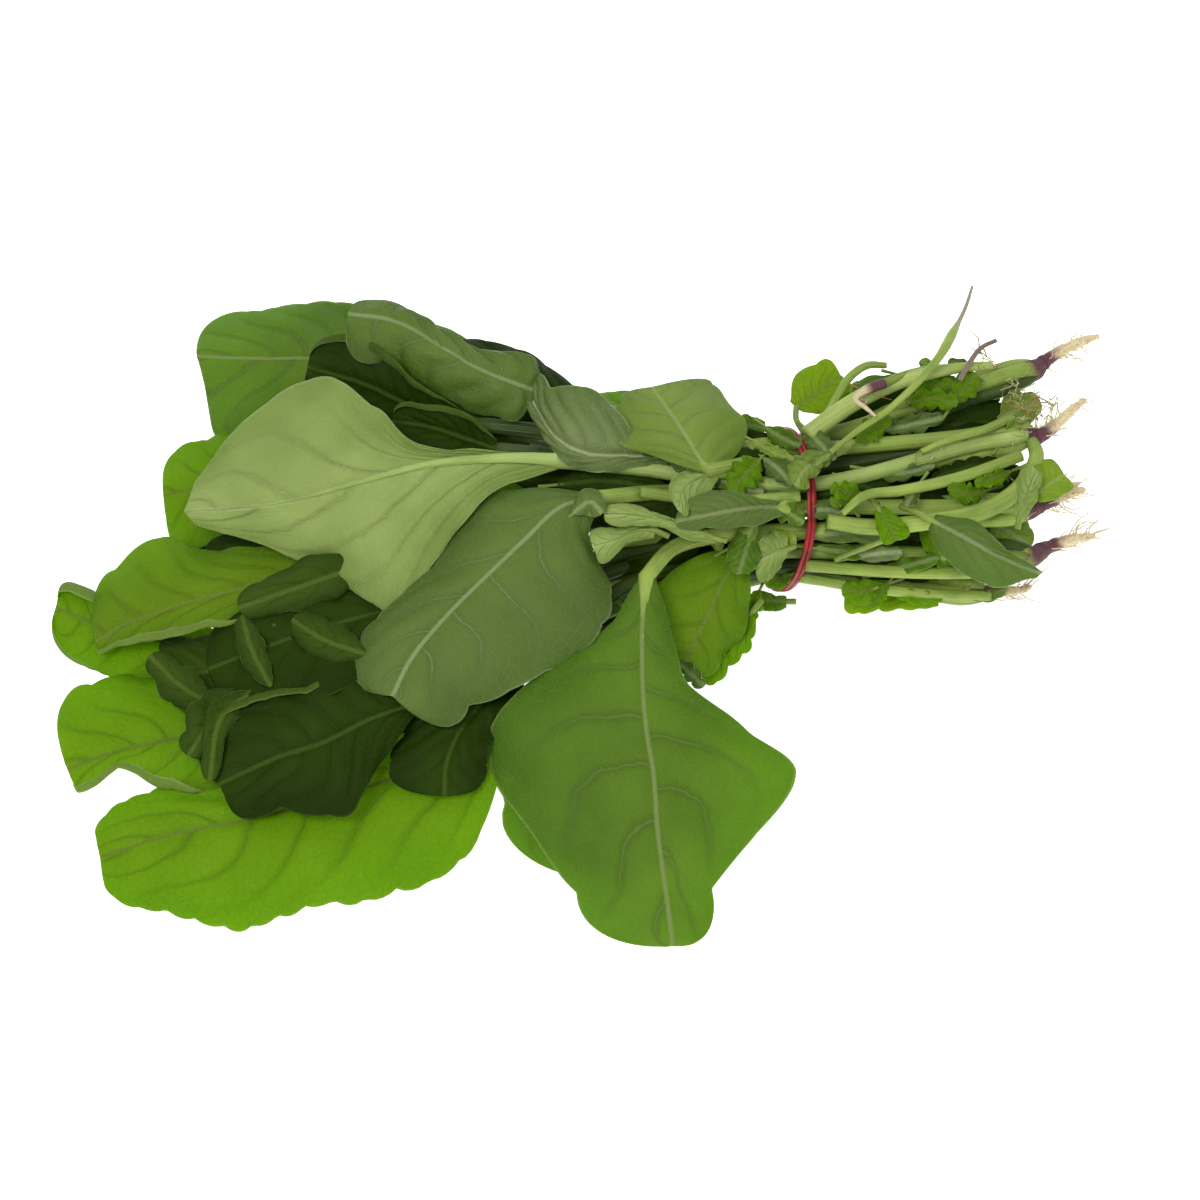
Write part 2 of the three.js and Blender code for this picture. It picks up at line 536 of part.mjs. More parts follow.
// A skin over rings of thirteen corners each, split alike on both faces, with its ends closed
function loft(rings) {
  const vertices = [];
  const rows = rings.map((ring) =>
    ring.map((v) => {
      vertices.push(v);
      return vertices.length - 1;
    }),
  );
  const faces = [];
  const count = rows[0].length;
  for (let i = 0; i + 1 < rows.length; i++) {
    for (let j = 0; j < count; j++) {
      const k = (j + 1) % count;
      const [a, b, c, d] = [rows[i][j], rows[i][k], rows[i + 1][k], rows[i + 1][j]];
      if (j < UPPER_COLUMNS) faces.push([a, d, c], [a, c, b]);
      else faces.push([a, d, b], [b, d, c]);
    }
  }
  const cap = (row) => [
    [row[0], row[1], row[11]],
    [row[0], row[11], row[12]],
    [row[1], row[2], row[10]],
    [row[1], row[10], row[11]],
    [row[2], row[9], row[10]],
    [row[2], row[3], row[9]],
    [row[3], row[8], row[9]],
    [row[3], row[4], row[7]],
    [row[3], row[7], row[8]],
    [row[4], row[5], row[6]],
    [row[4], row[6], row[7]],
  ];
  faces.push(...cap(rows[0]));
  faces.push(...cap(rows.at(-1)).map(([a, b, c]) => [a, c, b]));
  return solidFrom(vertices, faces);
}

const curve = (points) => new THREE.CatmullRomCurve3(points, false, "centripetal");

// The stalk's place on its crown's face. Stalks stand round the face in their order in the tie.
const bunchLeaves = [...leaves, ...plainLeaves];
const allLeaves = [...tuckedLeaves, ...bunchLeaves];
const crownFrames = new Map();
for (const [name, crown] of Object.entries(crowns)) {
  const own = bunchLeaves.filter((leaf) => leaf.crown === name);
  const slots = own.map((leaf) => slotPoint(leaf.slot));
  const centroid = slots.reduce((sum, p) => sum.add(p), new THREE.Vector3()).divideScalar(slots.length);
  const face = seen(crown.at);
  const axis = centroid.clone().sub(face).normalize();
  const side = new THREE.Vector3(0, 0, 1).cross(axis).normalize();
  const rise = axis.clone().cross(side);
  const bearing = slots.map((p) => {
    const off = p.clone().sub(centroid);
    return Math.atan2(off.dot(rise), off.dot(side));
  });
  const round = slots.map((_, i) => i).sort((a, b) => bearing[a] - bearing[b]);
  const step = (2 * Math.PI) / round.length;
  let turnX = 0;
  let turnY = 0;
  round.forEach((i, order) => {
    turnX += Math.cos(bearing[i] - order * step);
    turnY += Math.sin(bearing[i] - order * step);
  });
  const start = Math.atan2(turnY, turnX);
  const seats = new Map();
  round.forEach((i, order) => {
    const angle = start + order * step;
    seats.set(
      own[i].name,
      face
        .clone()
        .addScaledVector(side, SEAT_RADIUS * Math.cos(angle))
        .addScaledVector(rise, SEAT_RADIUS * Math.sin(angle)),
    );
  });
  crownFrames.set(name, { face, axis, seats });
}

// The stalk's middle line, from its crown through the tie to the blade
function stalkPoints(leaf, bladeBase) {
  const own = (leaf.stalk ?? []).map(seen);
  if (!leaf.crown) return [...own, bladeBase];
  const { axis, seats } = crownFrames.get(leaf.crown);
  const foot = seats.get(leaf.name).clone().addScaledVector(axis, GAP);
  const slot = slotPoint(leaf.slot);
  const early = foot.clone().lerp(slot, 0.25);
  early.lerp(foot.clone().addScaledVector(axis, foot.distanceTo(slot) * 0.25), 0.6);
  const late = foot.clone().lerp(slot, 0.75);
  late.lerp(slot.clone().add(new THREE.Vector3(foot.distanceTo(slot) * 0.25, 0, 0)), 0.25);
  const next = own[0] ?? bladeBase;
  const leave = slot.clone().lerp(next, 0.4);
  leave.lerp(slot.clone().sub(new THREE.Vector3(0.4 * slot.distanceTo(next), 0, 0)), 0.5);
  return [foot, early, late, slot, leave, ...own, bladeBase];
}

// The blade as a surface: along is 0 at its base and 1 at its tip, across is -1 on the left margin
// and 1 on the right
function bladeSurface(leaf) {
  const rib = curve(leaf.ribPoints);
  const margins = [curve(leaf.leftPoints), curve(leaf.rightPoints)];
  const last = leaf.ribPoints.length - 1;
  const roundness = leaf.tip ?? 1;
  const halfAt = (side, along) => {
    const middle = rib.getPoint(along);
    const half = margins[side].getPoint(along).sub(middle);
    const place = along * last - (last - 1);
    if (place <= 0 || roundness === 0) return half;
    const before = margins[side].getPoint((last - 1) / last).sub(rib.getPoint((last - 1) / last));
    const atTip = margins[side].getPoint(1).sub(rib.getPoint(1));
    const rounded = before.multiplyScalar(Math.sqrt(1 - place * place)).addScaledVector(atTip, place);
    return half.lerp(rounded, roundness);
  };
  return {
    rib,
    halfAt,
    point(along, across) {
      const t = Math.min(Math.max(along, 0), 1);
      const q = Math.abs(across);
      const half = halfAt(across < 0 ? 0 : 1, t);
      const puff = 0.16 * half.length() * q * (1 - q);
      const turn = (across < 0 ? 17 : 14) * t + leaf.phase;
      const wave = RUFFLE_HEIGHT * q * q * Math.sin(turn) * Math.sin(Math.PI * t);
      return rib.getPoint(t).addScaledVector(half, q).addScaledVector(toViewer, puff + wave);
    },
    normal(along, across) {
      const d = 0.02;
      const [t0, t1] = [Math.max(along - d, 0), Math.min(along + d, 1)];
      const [q0, q1] = [Math.max(across - d, -1), Math.min(across + d, 1)];
      const lengthwise = this.point(t1, across).sub(this.point(t0, across));
      const crosswise = this.point(along, q1).sub(this.point(along, q0));
      return crosswise.cross(lengthwise).normalize();
    },
  };
}

// One leaf as a solid. `extra` grows it on every side, for the hollow that it cuts in a neighbour.
function leafSolid(leaf, extra = 0, stalkOnly = false) {
  const surface = bladeSurface(leaf);
  const facing = leaf.shows === "under" ? -1 : 1;
  const rings = [];

  const line = curve(stalkPoints(leaf, leaf.ribPoints[0]));
  const steps = line.points.length - 1;
  let right = surface.point(0, 1).sub(surface.point(0, -1));
  const stalkRings = [];
  for (let i = steps; i >= 0; i--) {
    const t = i / steps;
    const tangent = line.getTangent(Math.min(Math.max(t, 0.002), 0.998));
    right.addScaledVector(tangent, -right.dot(tangent)).normalize();
    const up = right.clone().cross(tangent).multiplyScalar(facing);
    const full = leaf.crown ? STALK_RADIUS : TUCKED_STALK_RADIUS;
    const foot = leaf.crown ? STALK_FOOT_RADIUS : TUCKED_STALK_RADIUS;
    const radius = THREE.MathUtils.lerp(foot, full, Math.min(1, t * 3)) + extra;
    const corners = NARROW_ANGLE.map((degrees) => {
      const angle = THREE.MathUtils.degToRad(degrees);
      return line
        .getPoint(t)
        .addScaledVector(right, radius * Math.cos(angle))
        .addScaledVector(up, radius * Math.sin(angle));
    });
    stalkRings.unshift(NARROW_CORNER.map((corner) => corners[corner].clone()));
  }
  if (!stalkOnly) stalkRings.pop();
  rings.push(...stalkRings);
  if (stalkOnly) return loft(rings);

  const ringCount = Math.ceil((leaf.ribPoints.length - 1) * (leaf.rings ?? RINGS_PER_STATION));
  const places = [0.03];
  for (let i = 1; i < ringCount; i++) places.push(i / ringCount);
  places.push(1 - 0.3 / ringCount, 1);
  places.forEach((along, order) => {
    const stalkRadius = leaf.crown ? STALK_RADIUS : TUCKED_STALK_RADIUS;
    const ribRadius =
      THREE.MathUtils.lerp(stalkRadius, RIB_TIP_RADIUS, Math.sqrt(along)) + extra * 0.6;
    const thick = BLADE_THICKNESS / 2 + extra;
    const scallop = leaf.scallop ?? SCALLOP;
    const notch = order % 2 ? scallop : -scallop;
    const corner = (across, off, stretch = 1) =>
      surface
        .point(along, across)
        .addScaledVector(surface.halfAt(across < 0 ? 0 : 1, along), stretch - 1)
        .addScaledVector(surface.normal(along, across), off * facing);
    const spread = (side) => {
      const half = surface.halfAt(side, along).length();
      const far = 1 + (along < 1 ? notch : 0) + extra / Math.max(half, 1);
      return { near: Math.min(0.4, ribRadius / half), far };
    };
    const [l, r] = [spread(0), spread(1)];
    const ring = [
      corner(-1, thick, l.far), corner(-0.55, thick), corner(-l.near, thick),
      corner(r.near, thick), corner(0.55, thick), corner(1, thick, r.far),
      corner(1, -thick, r.far), corner(0.55, -thick), corner(r.near, -thick),
      corner(0, -thick - ribRadius * 0.9), corner(-l.near, -thick),
      corner(-0.55, -thick), corner(-1, -thick, l.far),
    ];
    if (!leaf.crown) [ring[1], ring[4], ring[7], ring[11]] = [ring[0], ring[5], ring[6], ring[12]];
    const isTip = order === places.length - 1;
    const narrow = [0, 2, 3, 5, 6, 9, 12];
    rings.push(isTip ? NARROW_CORNER.map((c) => ring[narrow[c]].clone()) : ring);
  });
  return loft(rings);
}

// Turns the written places of each leaf into points, and gives a plain leaf its outline
let order = 0;
for (const leaf of [...tuckedLeaves, ...leaves]) {
  leaf.ribPoints = leaf.rib.map(seen);
  leaf.leftPoints = leaf.left.map(seen);
  leaf.rightPoints = leaf.right.map(seen);
  leaf.phase = 1.7 * order++;
  if (!leaf.crown && !leaf.scallop) leaf.rings = 1.34;
}
for (const leaf of plainLeaves) {
  const base = new THREE.Vector3(...leaf.from);
  const tip = new THREE.Vector3(...leaf.to);
  const along = tip.clone().sub(base);
  const rightward = along.clone().cross(new THREE.Vector3(0, 0, 1)).normalize();
  const arch = PLAIN_ARCH * along.length();
  leaf.ribPoints = PLAIN_STATIONS.map((t) =>
    base.clone().lerp(tip, t).add(new THREE.Vector3(0, 0, arch * Math.sin(Math.PI * t))),
  );
  const margin = (sign) =>
    leaf.ribPoints.map((p, i) => {
      const out = p.clone().addScaledVector(rightward, sign * leaf.half * PLAIN_WIDTH[i]);
      const hung = out.z * (1 - (leaf.droop ?? PLAIN_DROOP)) - 0.04 * leaf.half * PLAIN_WIDTH[i];
      out.z = Math.max(hung, 1.1);
      return out;
    });
  leaf.rings = 1.2;
  leaf.leftPoints = margin(-1);
  leaf.rightPoints = margin(1);
  leaf.phase = 1.7 * order++;
}

// A round strand through rings of corners about its middle line, with flat ends
function strandSolid(line, radii, sides, stepsPerSpan, extra = 0) {
  const path = curve(line);
  const steps = (line.length - 1) * stepsPerSpan;
  const vertices = [];
  const faces = [];
  let across = new THREE.Vector3(0, 0, 1);
  for (let i = 0; i <= steps; i++) {
    const t = i / steps;
    const tangent = path.getTangent(Math.min(Math.max(t, 0.002), 0.998));
    across.addScaledVector(tangent, -across.dot(tangent)).normalize();
    const other = tangent.clone().cross(across);
    const place = t * (radii.length - 1);
    const low = Math.min(Math.floor(place), radii.length - 2);
    const radius = THREE.MathUtils.lerp(radii[low], radii[low + 1], place - low) + extra;
    for (let j = 0; j < sides; j++) {
      const angle = (2 * Math.PI * j) / sides;
      vertices.push(
        path
          .getPoint(t)
          .addScaledVector(across, radius * Math.cos(angle))
          .addScaledVector(other, radius * Math.sin(angle)),
      );
    }
    if (i === 0) continue;
    for (let j = 0; j < sides; j++) {
      const k = (j + 1) % sides;
      const [a, b] = [(i - 1) * sides + j, (i - 1) * sides + k];
      const [c, d] = [i * sides + k, i * sides + j];
      faces.push([a, b, c], [a, c, d]);
    }
  }
  for (let j = 1; j + 1 < sides; j++) {
    faces.push([0, j + 1, j]);
    faces.push([steps * sides, steps * sides + j, steps * sides + j + 1]);
  }
  return solidFrom(vertices, faces);
}

// A crown widens a little behind its face and narrows into the taproot
function crownSolid(name) {
  const { face, axis } = crownFrames.get(name);
  const { root, radii } = crowns[name];
  const shoulder = face.clone().addScaledVector(axis, -4);
  const line = [face, shoulder, ...root.map(seen)];
  return strandSolid(line, radii, ROOT_SIDES, 2);
}

// The rubber band: a six-cornered strip round the stalks
function bandSolid() {
  const nearAxis = toViewer.clone().add(new THREE.Vector3(BAND_LEAN, 0, 0));
  const normal = viewUp.clone().cross(nearAxis).normalize();
  const half = BAND_WIDTH / 2;
  const bevel = 0.5;
  const section = [
    [-half, BAND_THICKNESS / 2], [-half + bevel, 0], [half - bevel, 0],
    [half, BAND_THICKNESS / 2], [half - bevel, BAND_THICKNESS], [-half + bevel, BAND_THICKNESS],
  ];
  const vertices = [];
  const faces = [];
  for (let i = 0; i < BAND_STEPS; i++) {
    const degrees = (360 * i) / BAND_STEPS;
    for (const [along, out] of section)
      vertices.push(inBandPlane(BAND_INNER_RADIUS + out, degrees).addScaledVector(normal, along));
    for (let j = 0; j < section.length; j++) {
      const k = (j + 1) % section.length;
      const next = (i + 1) % BAND_STEPS;
      const [a, b] = [i * section.length + j, i * section.length + k];
      const [c, d] = [next * section.length + k, next * section.length + j];
      faces.push([a, b, c], [a, c, d]);
    }
  }
  return solidFrom(vertices, faces);
}

const largest = (solid) =>
  solid.decompose().reduce((best, body) => (body.volume() > best.volume() ? body : best));

// A cut body in the part's own frame, with its closest vertices merged and without loose crumbs
function settled(solid, origin) {
  const { numProp, vertProperties, triVerts } = solid.getMesh();
  const vertices = [];
  for (let i = 0; i < vertProperties.length; i += numProp) {
    const vertex = new THREE.Vector3().fromArray(vertProperties, i).sub(origin);
    vertices.push(vertex.divideScalar(SNAP).round().multiplyScalar(SNAP));
  }
  const faces = [];
  for (let i = 0; i < triVerts.length; i += 3) faces.push([...triVerts.subarray(i, i + 3)]);
  return largest(solidFrom(vertices, faces));
}

// Everything below the table's surface is cut away, which gives the bunch its flat resting spots
const belowTable = (() => {
  const box = new THREE.BoxGeometry(900, 900, 100).translate(0, 0, -50);
  box.deleteAttribute("normal");
  box.deleteAttribute("uv");
  const merged = mergeVertices(box);
  return new wasm.Manifold(
    new wasm.Mesh({
      numProp: 3,
      vertProperties: new Float32Array(merged.attributes.position.array),
      triVerts: new Uint32Array(merged.index.array),
    }),
  );
})();

const cutAway = (body, tool) => (body.intersect(tool).volume() > 1e-4 ? body.subtract(tool) : body);

const pieces = new Map();
pieces.set("rubber_band", { solid: bandSolid(), colour: "band" });
for (const name of Object.keys(crowns)) pieces.set(name, { solid: crownSolid(name), colour: "crown" });
for (const strand of strands) {
  const line = strand.line.map(seen);
  const solid = strandSolid(line, strand.radii, STRAND_SIDES, 2);
  const wider = strandSolid(line, strand.radii, STRAND_SIDES, 2, GAP);
  pieces.set(strand.name, { solid, colour: strand.colour, grown: wider });
}

// Where two leaves meet, the lower one is hollowed to the shape of the upper one, and stalks stay whole
const grownStrands = strands.map((strand) => pieces.get(strand.name).grown);
const grown = allLeaves.map((leaf) => leafSolid(leaf, GAP));
const grownStalk = allLeaves.map((leaf) => leafSolid(leaf, GAP, true));
const keptStalk = allLeaves.map((leaf) => leafSolid(leaf, GAP / 2, true));
allLeaves.forEach((leaf, index) => {
  let body = leafSolid(leaf);
  allLeaves.forEach((_, other) => {
    if (other === index) return;
    const tool = other < index ? grown[other] : grownStalk[other];
    if (body.intersect(tool).volume() < 1e-4) return;
    body = body.subtract(tool.subtract(keptStalk[index]));
  });
  for (const tool of grownStrands) body = cutAway(body, tool.subtract(keptStalk[index]));
  pieces.set(leaf.name, { solid: largest(body), colour: leaf.shows === "under" ? "underside" : "leaf" });
});

// What little still touches, beside the foot of a blade, is taken off the lower leaf
allLeaves.forEach((upper, index) => {
  for (const lower of allLeaves.slice(index + 1)) {
    const piece = pieces.get(lower.name);
    const above = pieces.get(upper.name).solid;
    const shared = piece.solid.intersect(above).volume();
    if (shared > 1e-3) piece.solid = largest(piece.solid.subtract(grown[index].add(above)));
  }
});

const surface = (color, roughness, side = THREE.FrontSide) =>
  new THREE.MeshStandardMaterial({ color, roughness, metalness: 0, side });

const materials = {
  leaf: surface(0x55802c, 0.55, THREE.DoubleSide),
  underside: surface(0x93ad5e, 0.6, THREE.DoubleSide),
  stalk: surface(0xa3bd62, 0.5),
  crown: surface(0xb7c184, 0.6),
  root: surface(0xe0c28c, 0.7),
  band: surface(0xa5191e, 0.45),
};

function meshOf(name, solid, colour) {
  const { numProp, vertProperties, triVerts } = solid.getMesh();
  const positions = new Float32Array((vertProperties.length / numProp) * 3);
  for (let i = 0; i < positions.length / 3; i++)
    positions.set(vertProperties.subarray(i * numProp, i * numProp + 3), i * 3);
  const geometry = new THREE.BufferGeometry();
  geometry.setAttribute("position", new THREE.BufferAttribute(positions, 3));
  geometry.setIndex(new THREE.BufferAttribute(triVerts, 1));
  geometry.computeVertexNormals();
  const mesh = new THREE.Mesh(geometry, materials[colour]);
  mesh.name = name;
  return mesh;
}

// The origin is under the middle of the bunch, on the table
const bounds = new THREE.Box3();
for (const piece of pieces.values()) {
  piece.solid = cutAway(piece.solid, belowTable);
  const { min, max } = piece.solid.boundingBox();
  bounds.expandByPoint(new THREE.Vector3(...min)).expandByPoint(new THREE.Vector3(...max));
}
const origin = bounds.getCenter(new THREE.Vector3()).setZ(0);

const part = new THREE.Group();
for (const [name, { solid, colour }] of pieces) part.add(meshOf(name, settled(solid, origin), colour));

export default part;
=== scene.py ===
# A bunch of young arugula with its taproots on, tied by a red rubber band: the finished look of every piece
import math

import bpy
import numpy as np
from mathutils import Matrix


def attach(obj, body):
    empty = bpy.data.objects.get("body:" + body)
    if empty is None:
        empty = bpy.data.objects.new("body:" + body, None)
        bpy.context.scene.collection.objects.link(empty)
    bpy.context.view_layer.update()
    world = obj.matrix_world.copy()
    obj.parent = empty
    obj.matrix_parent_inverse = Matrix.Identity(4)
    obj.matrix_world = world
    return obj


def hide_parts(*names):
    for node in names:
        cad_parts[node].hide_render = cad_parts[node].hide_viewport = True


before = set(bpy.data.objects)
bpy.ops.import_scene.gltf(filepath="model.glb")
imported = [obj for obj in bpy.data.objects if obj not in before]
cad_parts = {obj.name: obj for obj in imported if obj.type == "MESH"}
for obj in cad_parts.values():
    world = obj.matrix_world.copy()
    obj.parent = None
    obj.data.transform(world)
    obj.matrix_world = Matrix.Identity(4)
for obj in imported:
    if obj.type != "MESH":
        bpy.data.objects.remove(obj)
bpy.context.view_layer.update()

MM = 0.001
TURN = 2 * math.pi

# The standpoint that the bunch is described from. Places are (across, up, height above the table) in
# millimetres, with across and up as they are seen from there
VIEW_DISTANCE = 900.0
VIEW_ELEVATION = math.radians(55)
VIEW_WIDTH = 312.0  # what the picture spans at the bunch
TO_VIEWER = np.array([0, -math.cos(VIEW_ELEVATION), math.sin(VIEW_ELEVATION)])
VIEW_UP = np.array([0, math.sin(VIEW_ELEVATION), math.cos(VIEW_ELEVATION)])
FRAME_MIDDLE = np.array([-5.5831, -5.1751, 0])  # the frame's origin in the description's millimetres
TABLE_UP = np.array([0, 0, 1.0])
LEAFWARDS = np.array([-1.0, 0, 0])
STRAND_UP = np.array([0.1, -0.3, 1.0])

# The tie: a band in a plane that leans to the roots, with slots for the stalks on rings inside it
BAND_CENTRE = (47, 23.6, 21.2)
BAND_INNER_RADIUS = 19.95
BAND_LEAN = 0.4
SLOT_RING_RADIUS = (0, 5.6, 11.2, 16.9)
SEAT_RADIUS = 4.3  # ring on a crown's face where the stalks start

# Sizes of leaves and stalks
STALK_RADIUS = 2.05
TUCKED_STALK_RADIUS = 0.8
STALK_WIDENS = ([0, 4, 8, 16], [0.45, 0.8, 1.0, 0.96])  # distance from the crown, share of the radius
STALK_SIDES = 14
STALK_STEP = 2.2
TUCKED_STALK_SIDES = 8
TUCKED_STALK_STEP = 1.4
THINNEST_RIB = 0.22
BLADE_THICKNESS = 0.42
BLADE_GRID = (26, 84)  # columns on each side of the rib, rings along it
TUCKED_GRID = (10, 30)
BIT_GRID = (5, 36)

# The middle line of each crown and its root, from the crown's face to the root's tip
CROWNS = {
    "top": [(109, 58.5, 38), (115, 61.5, 38), (121, 65.5, 38), (129.5, 68.3, 37)],
    "upper": [(107, 42, 37), (114, 42.5, 37), (119.5, 46.5, 37), (126, 52, 36)],
    "middle": [(107, 23.5, 30), (115, 25, 29), (120.5, 27, 28), (126, 29, 27)],
    "lower": [(108, 11.5, 21), (116, 13.5, 19), (122, 15.5, 17), (128.5, 17, 15)],
    "lowest": [(95, 2.5, 10), (102, 2, 8.5), (107, 2.3, 7), (112, 3.5, 6)],
    "far": [(104, 43, 13), (112, 42.4, 12), (118, 45.5, 11), (123, 50, 10)],
    "under": [(103, 24, 6.4), (110, 26, 5.4), (117, 28, 4), (124, 30, 2.6)],
}

# Rows: name, then points along the stalk, the rib, the left margin and the right margin
TUCKED_LEAVES = [
    ("pale_upright", [(37, 32, 41.5)],
     [(31, 32.4, 43), (26, 31.5, 45), (21.5, 28.5, 46.4), (20.2, 23.5, 46.8)],
     [(30.6, 31, 43), (27, 27, 45), (23.5, 24.8, 46.4), (21, 23, 46.6)],
     [(31, 33.8, 43), (25, 34.5, 45), (19, 31.5, 46.4), (19.3, 25, 46.8)]),
    ("ribbon", [(33, 15.4, 40.5)],
     [(30, 16, 41), (24, 17.8, 42), (16, 20.5, 43), (8, 22, 43.4), (1, 22.4, 43)],
     [(30, 14.8, 41), (24, 15.6, 42), (16, 18.8, 43), (9, 19.4, 43), (1.2, 20.8, 42.6)],
     [(30, 17, 41), (24, 19.2, 42.4), (17, 22, 43.6), (10, 24.2, 44), (1.4, 24.2, 43.4)]),
    ("pale_curl", [(18, 16.5, 38.5)],
     [(14.5, 18, 39.5), (9, 17.8, 40.6), (4, 15.5, 40.6), (-2, 13.8, 40)],
     [(14, 16.2, 39), (9, 15.4, 40), (4, 11.8, 39.6), (-0.5, 10.8, 39.4)],
     [(15, 19.6, 39.8), (9.5, 20, 41.2), (4, 18.6, 41.4), (-2.8, 16.8, 40.6)]),
    ("pale_edge", [(42, 22, 36)],
     [(40, 19, 35.5), (38, 13, 34), (36, 6.6, 31)],
     [(41.2, 18.4, 35), (41.4, 12, 33), (37.4, 6.8, 31)],
     [(37.4, 19.4, 35.6), (33.6, 13, 34), (34.8, 7, 31)]),
    ("beside_tie_top", [(44.4, 44, 34)],
     [(42.8, 44.6, 34.4), (40, 45.4, 34.4), (36.5, 45.5, 34)],
     [(42.6, 42.8, 34.2), (39.8, 42.8, 34), (36.8, 43.8, 33.8)],
     [(43, 46.2, 34.6), (40, 47.8, 34.8), (36.8, 47.4, 34)]),
    ("beside_tie_low", [(50.6, 14, 32)],
     [(48.8, 13.6, 33), (45, 12.4, 33), (40, 9.5, 31)],
     [(48.6, 11.4, 31.6), (46, 7.5, 30), (40.6, 6.6, 29.6)],
     [(48.8, 16.6, 35), (45, 17, 35.4), (39.6, 12, 32)]),
    ("beside_tie_bottom", [(51, -0.4, 6.4)],
     [(48.6, -0.4, 6.4), (45.2, -0.4, 6.4), (41, 0, 6.6)],
     [(48.4, -2, 5.8), (45, -2.8, 5.6), (41.4, -1.6, 6)],
     [(48.4, 1, 6.8), (45, 1.6, 7), (41, 1.6, 7)]),
    ("toothed_low", [(42, 0, 17)],
     [(39.5, -3, 16.4), (35.5, -9, 14.6), (31, -14.5, 11.6), (26.5, -20, 8)],
     [(41, -4.4, 16), (39, -12, 13), (34, -17.5, 10), (27, -21.5, 7.6)],
     [(37.6, -2, 16.4), (32, -7, 14.4), (26, -13.5, 11.4), (24, -20.4, 8)]),
    ("over_tie", [(64, 39, 42.5)],
     [(60, 37.2, 43.6), (56, 36, 44.6), (52.5, 33, 44.8), (51, 29.5, 44)],
     [(60, 35.8, 43.4), (57.5, 33.6, 44.2), (54.6, 31, 44.4), (51.8, 29.2, 43.8)],
     [(59.6, 38.8, 43.6), (54, 38.8, 44.4), (49.6, 36.5, 44.4), (50, 30, 44)]),
    ("round_top", [(53, 43.4, 36.5), (51, 47, 37)],
     [(51, 50, 37), (54, 52.6, 38), (58, 55.5, 38.6), (62.5, 58.5, 38.6)],
     [(49.4, 51.6, 37), (50.8, 58, 38), (56, 61.2, 38.6), (61.5, 60, 38.6)],
     [(52.8, 48.8, 37), (58.6, 48.8, 37.6), (63, 52.8, 38.2), (64, 57, 38.4)]),
    ("dark_pointed", [(78, 24.5, 37), (82, 23, 38)],
     [(86.5, 20.5, 38.4), (94, 16.8, 38.6), (103, 11.8, 37), (114.5, 6.8, 32)],
     [(87.4, 22.2, 38.4), (97, 20.4, 38.4), (106.5, 12.4, 35.5), (114.9, 7.4, 32)],
     [(85.4, 18.6, 38), (90, 10.5, 35.5), (101, 3.6, 33), (113.4, 5.8, 31.6)]),
    ("light_right", [(110.5, 23.5, 38.6)],
     [(113, 26.4, 39), (116, 29.6, 39), (120.6, 32.6, 38)],
     [(111.8, 27.6, 39), (113.6, 34.6, 39), (119.2, 34.8, 38)],
     [(114.4, 25.4, 39), (120.4, 27.2, 38), (121.8, 31, 37.4)]),
    ("pale_right", [(108.5, 18.5, 38.4)],
     [(109.2, 21.6, 40), (110.8, 27, 42), (113.2, 34, 42)],
     [(107.6, 22, 40), (108.4, 29, 42), (112, 35.4, 42)],
     [(111, 21.2, 40), (113.2, 26.6, 41.8), (114.2, 33, 41.6)]),
    ("yellow_low", [(92, 0.2, 5.6)],
     [(88, 0.5, 6), (80, 1.2, 6.6), (72, 1.4, 6.6), (63.5, 0.6, 6)],
     [(88, -1.6, 5.6), (79.6, -2.6, 5.8), (70.6, -2.8, 5.8), (63.6, -1.4, 5.6)],
     [(88, 2.4, 6.4), (79.4, 4.8, 7.4), (70.4, 5.4, 7.4), (63.8, 3, 6.6)]),
    ("seed_leaf", [(70.5, 26.4, 38.8)],
     [(72.4, 23.6, 39.8), (75.2, 19.8, 40.4), (77, 15.4, 39.4)],
     [(74, 24.4, 39.8), (79, 20.2, 40.2), (78.6, 15.8, 39.2)],
     [(71.2, 22.4, 39.6), (72.6, 17.8, 39.8), (75.6, 14.8, 39.2)]),
]
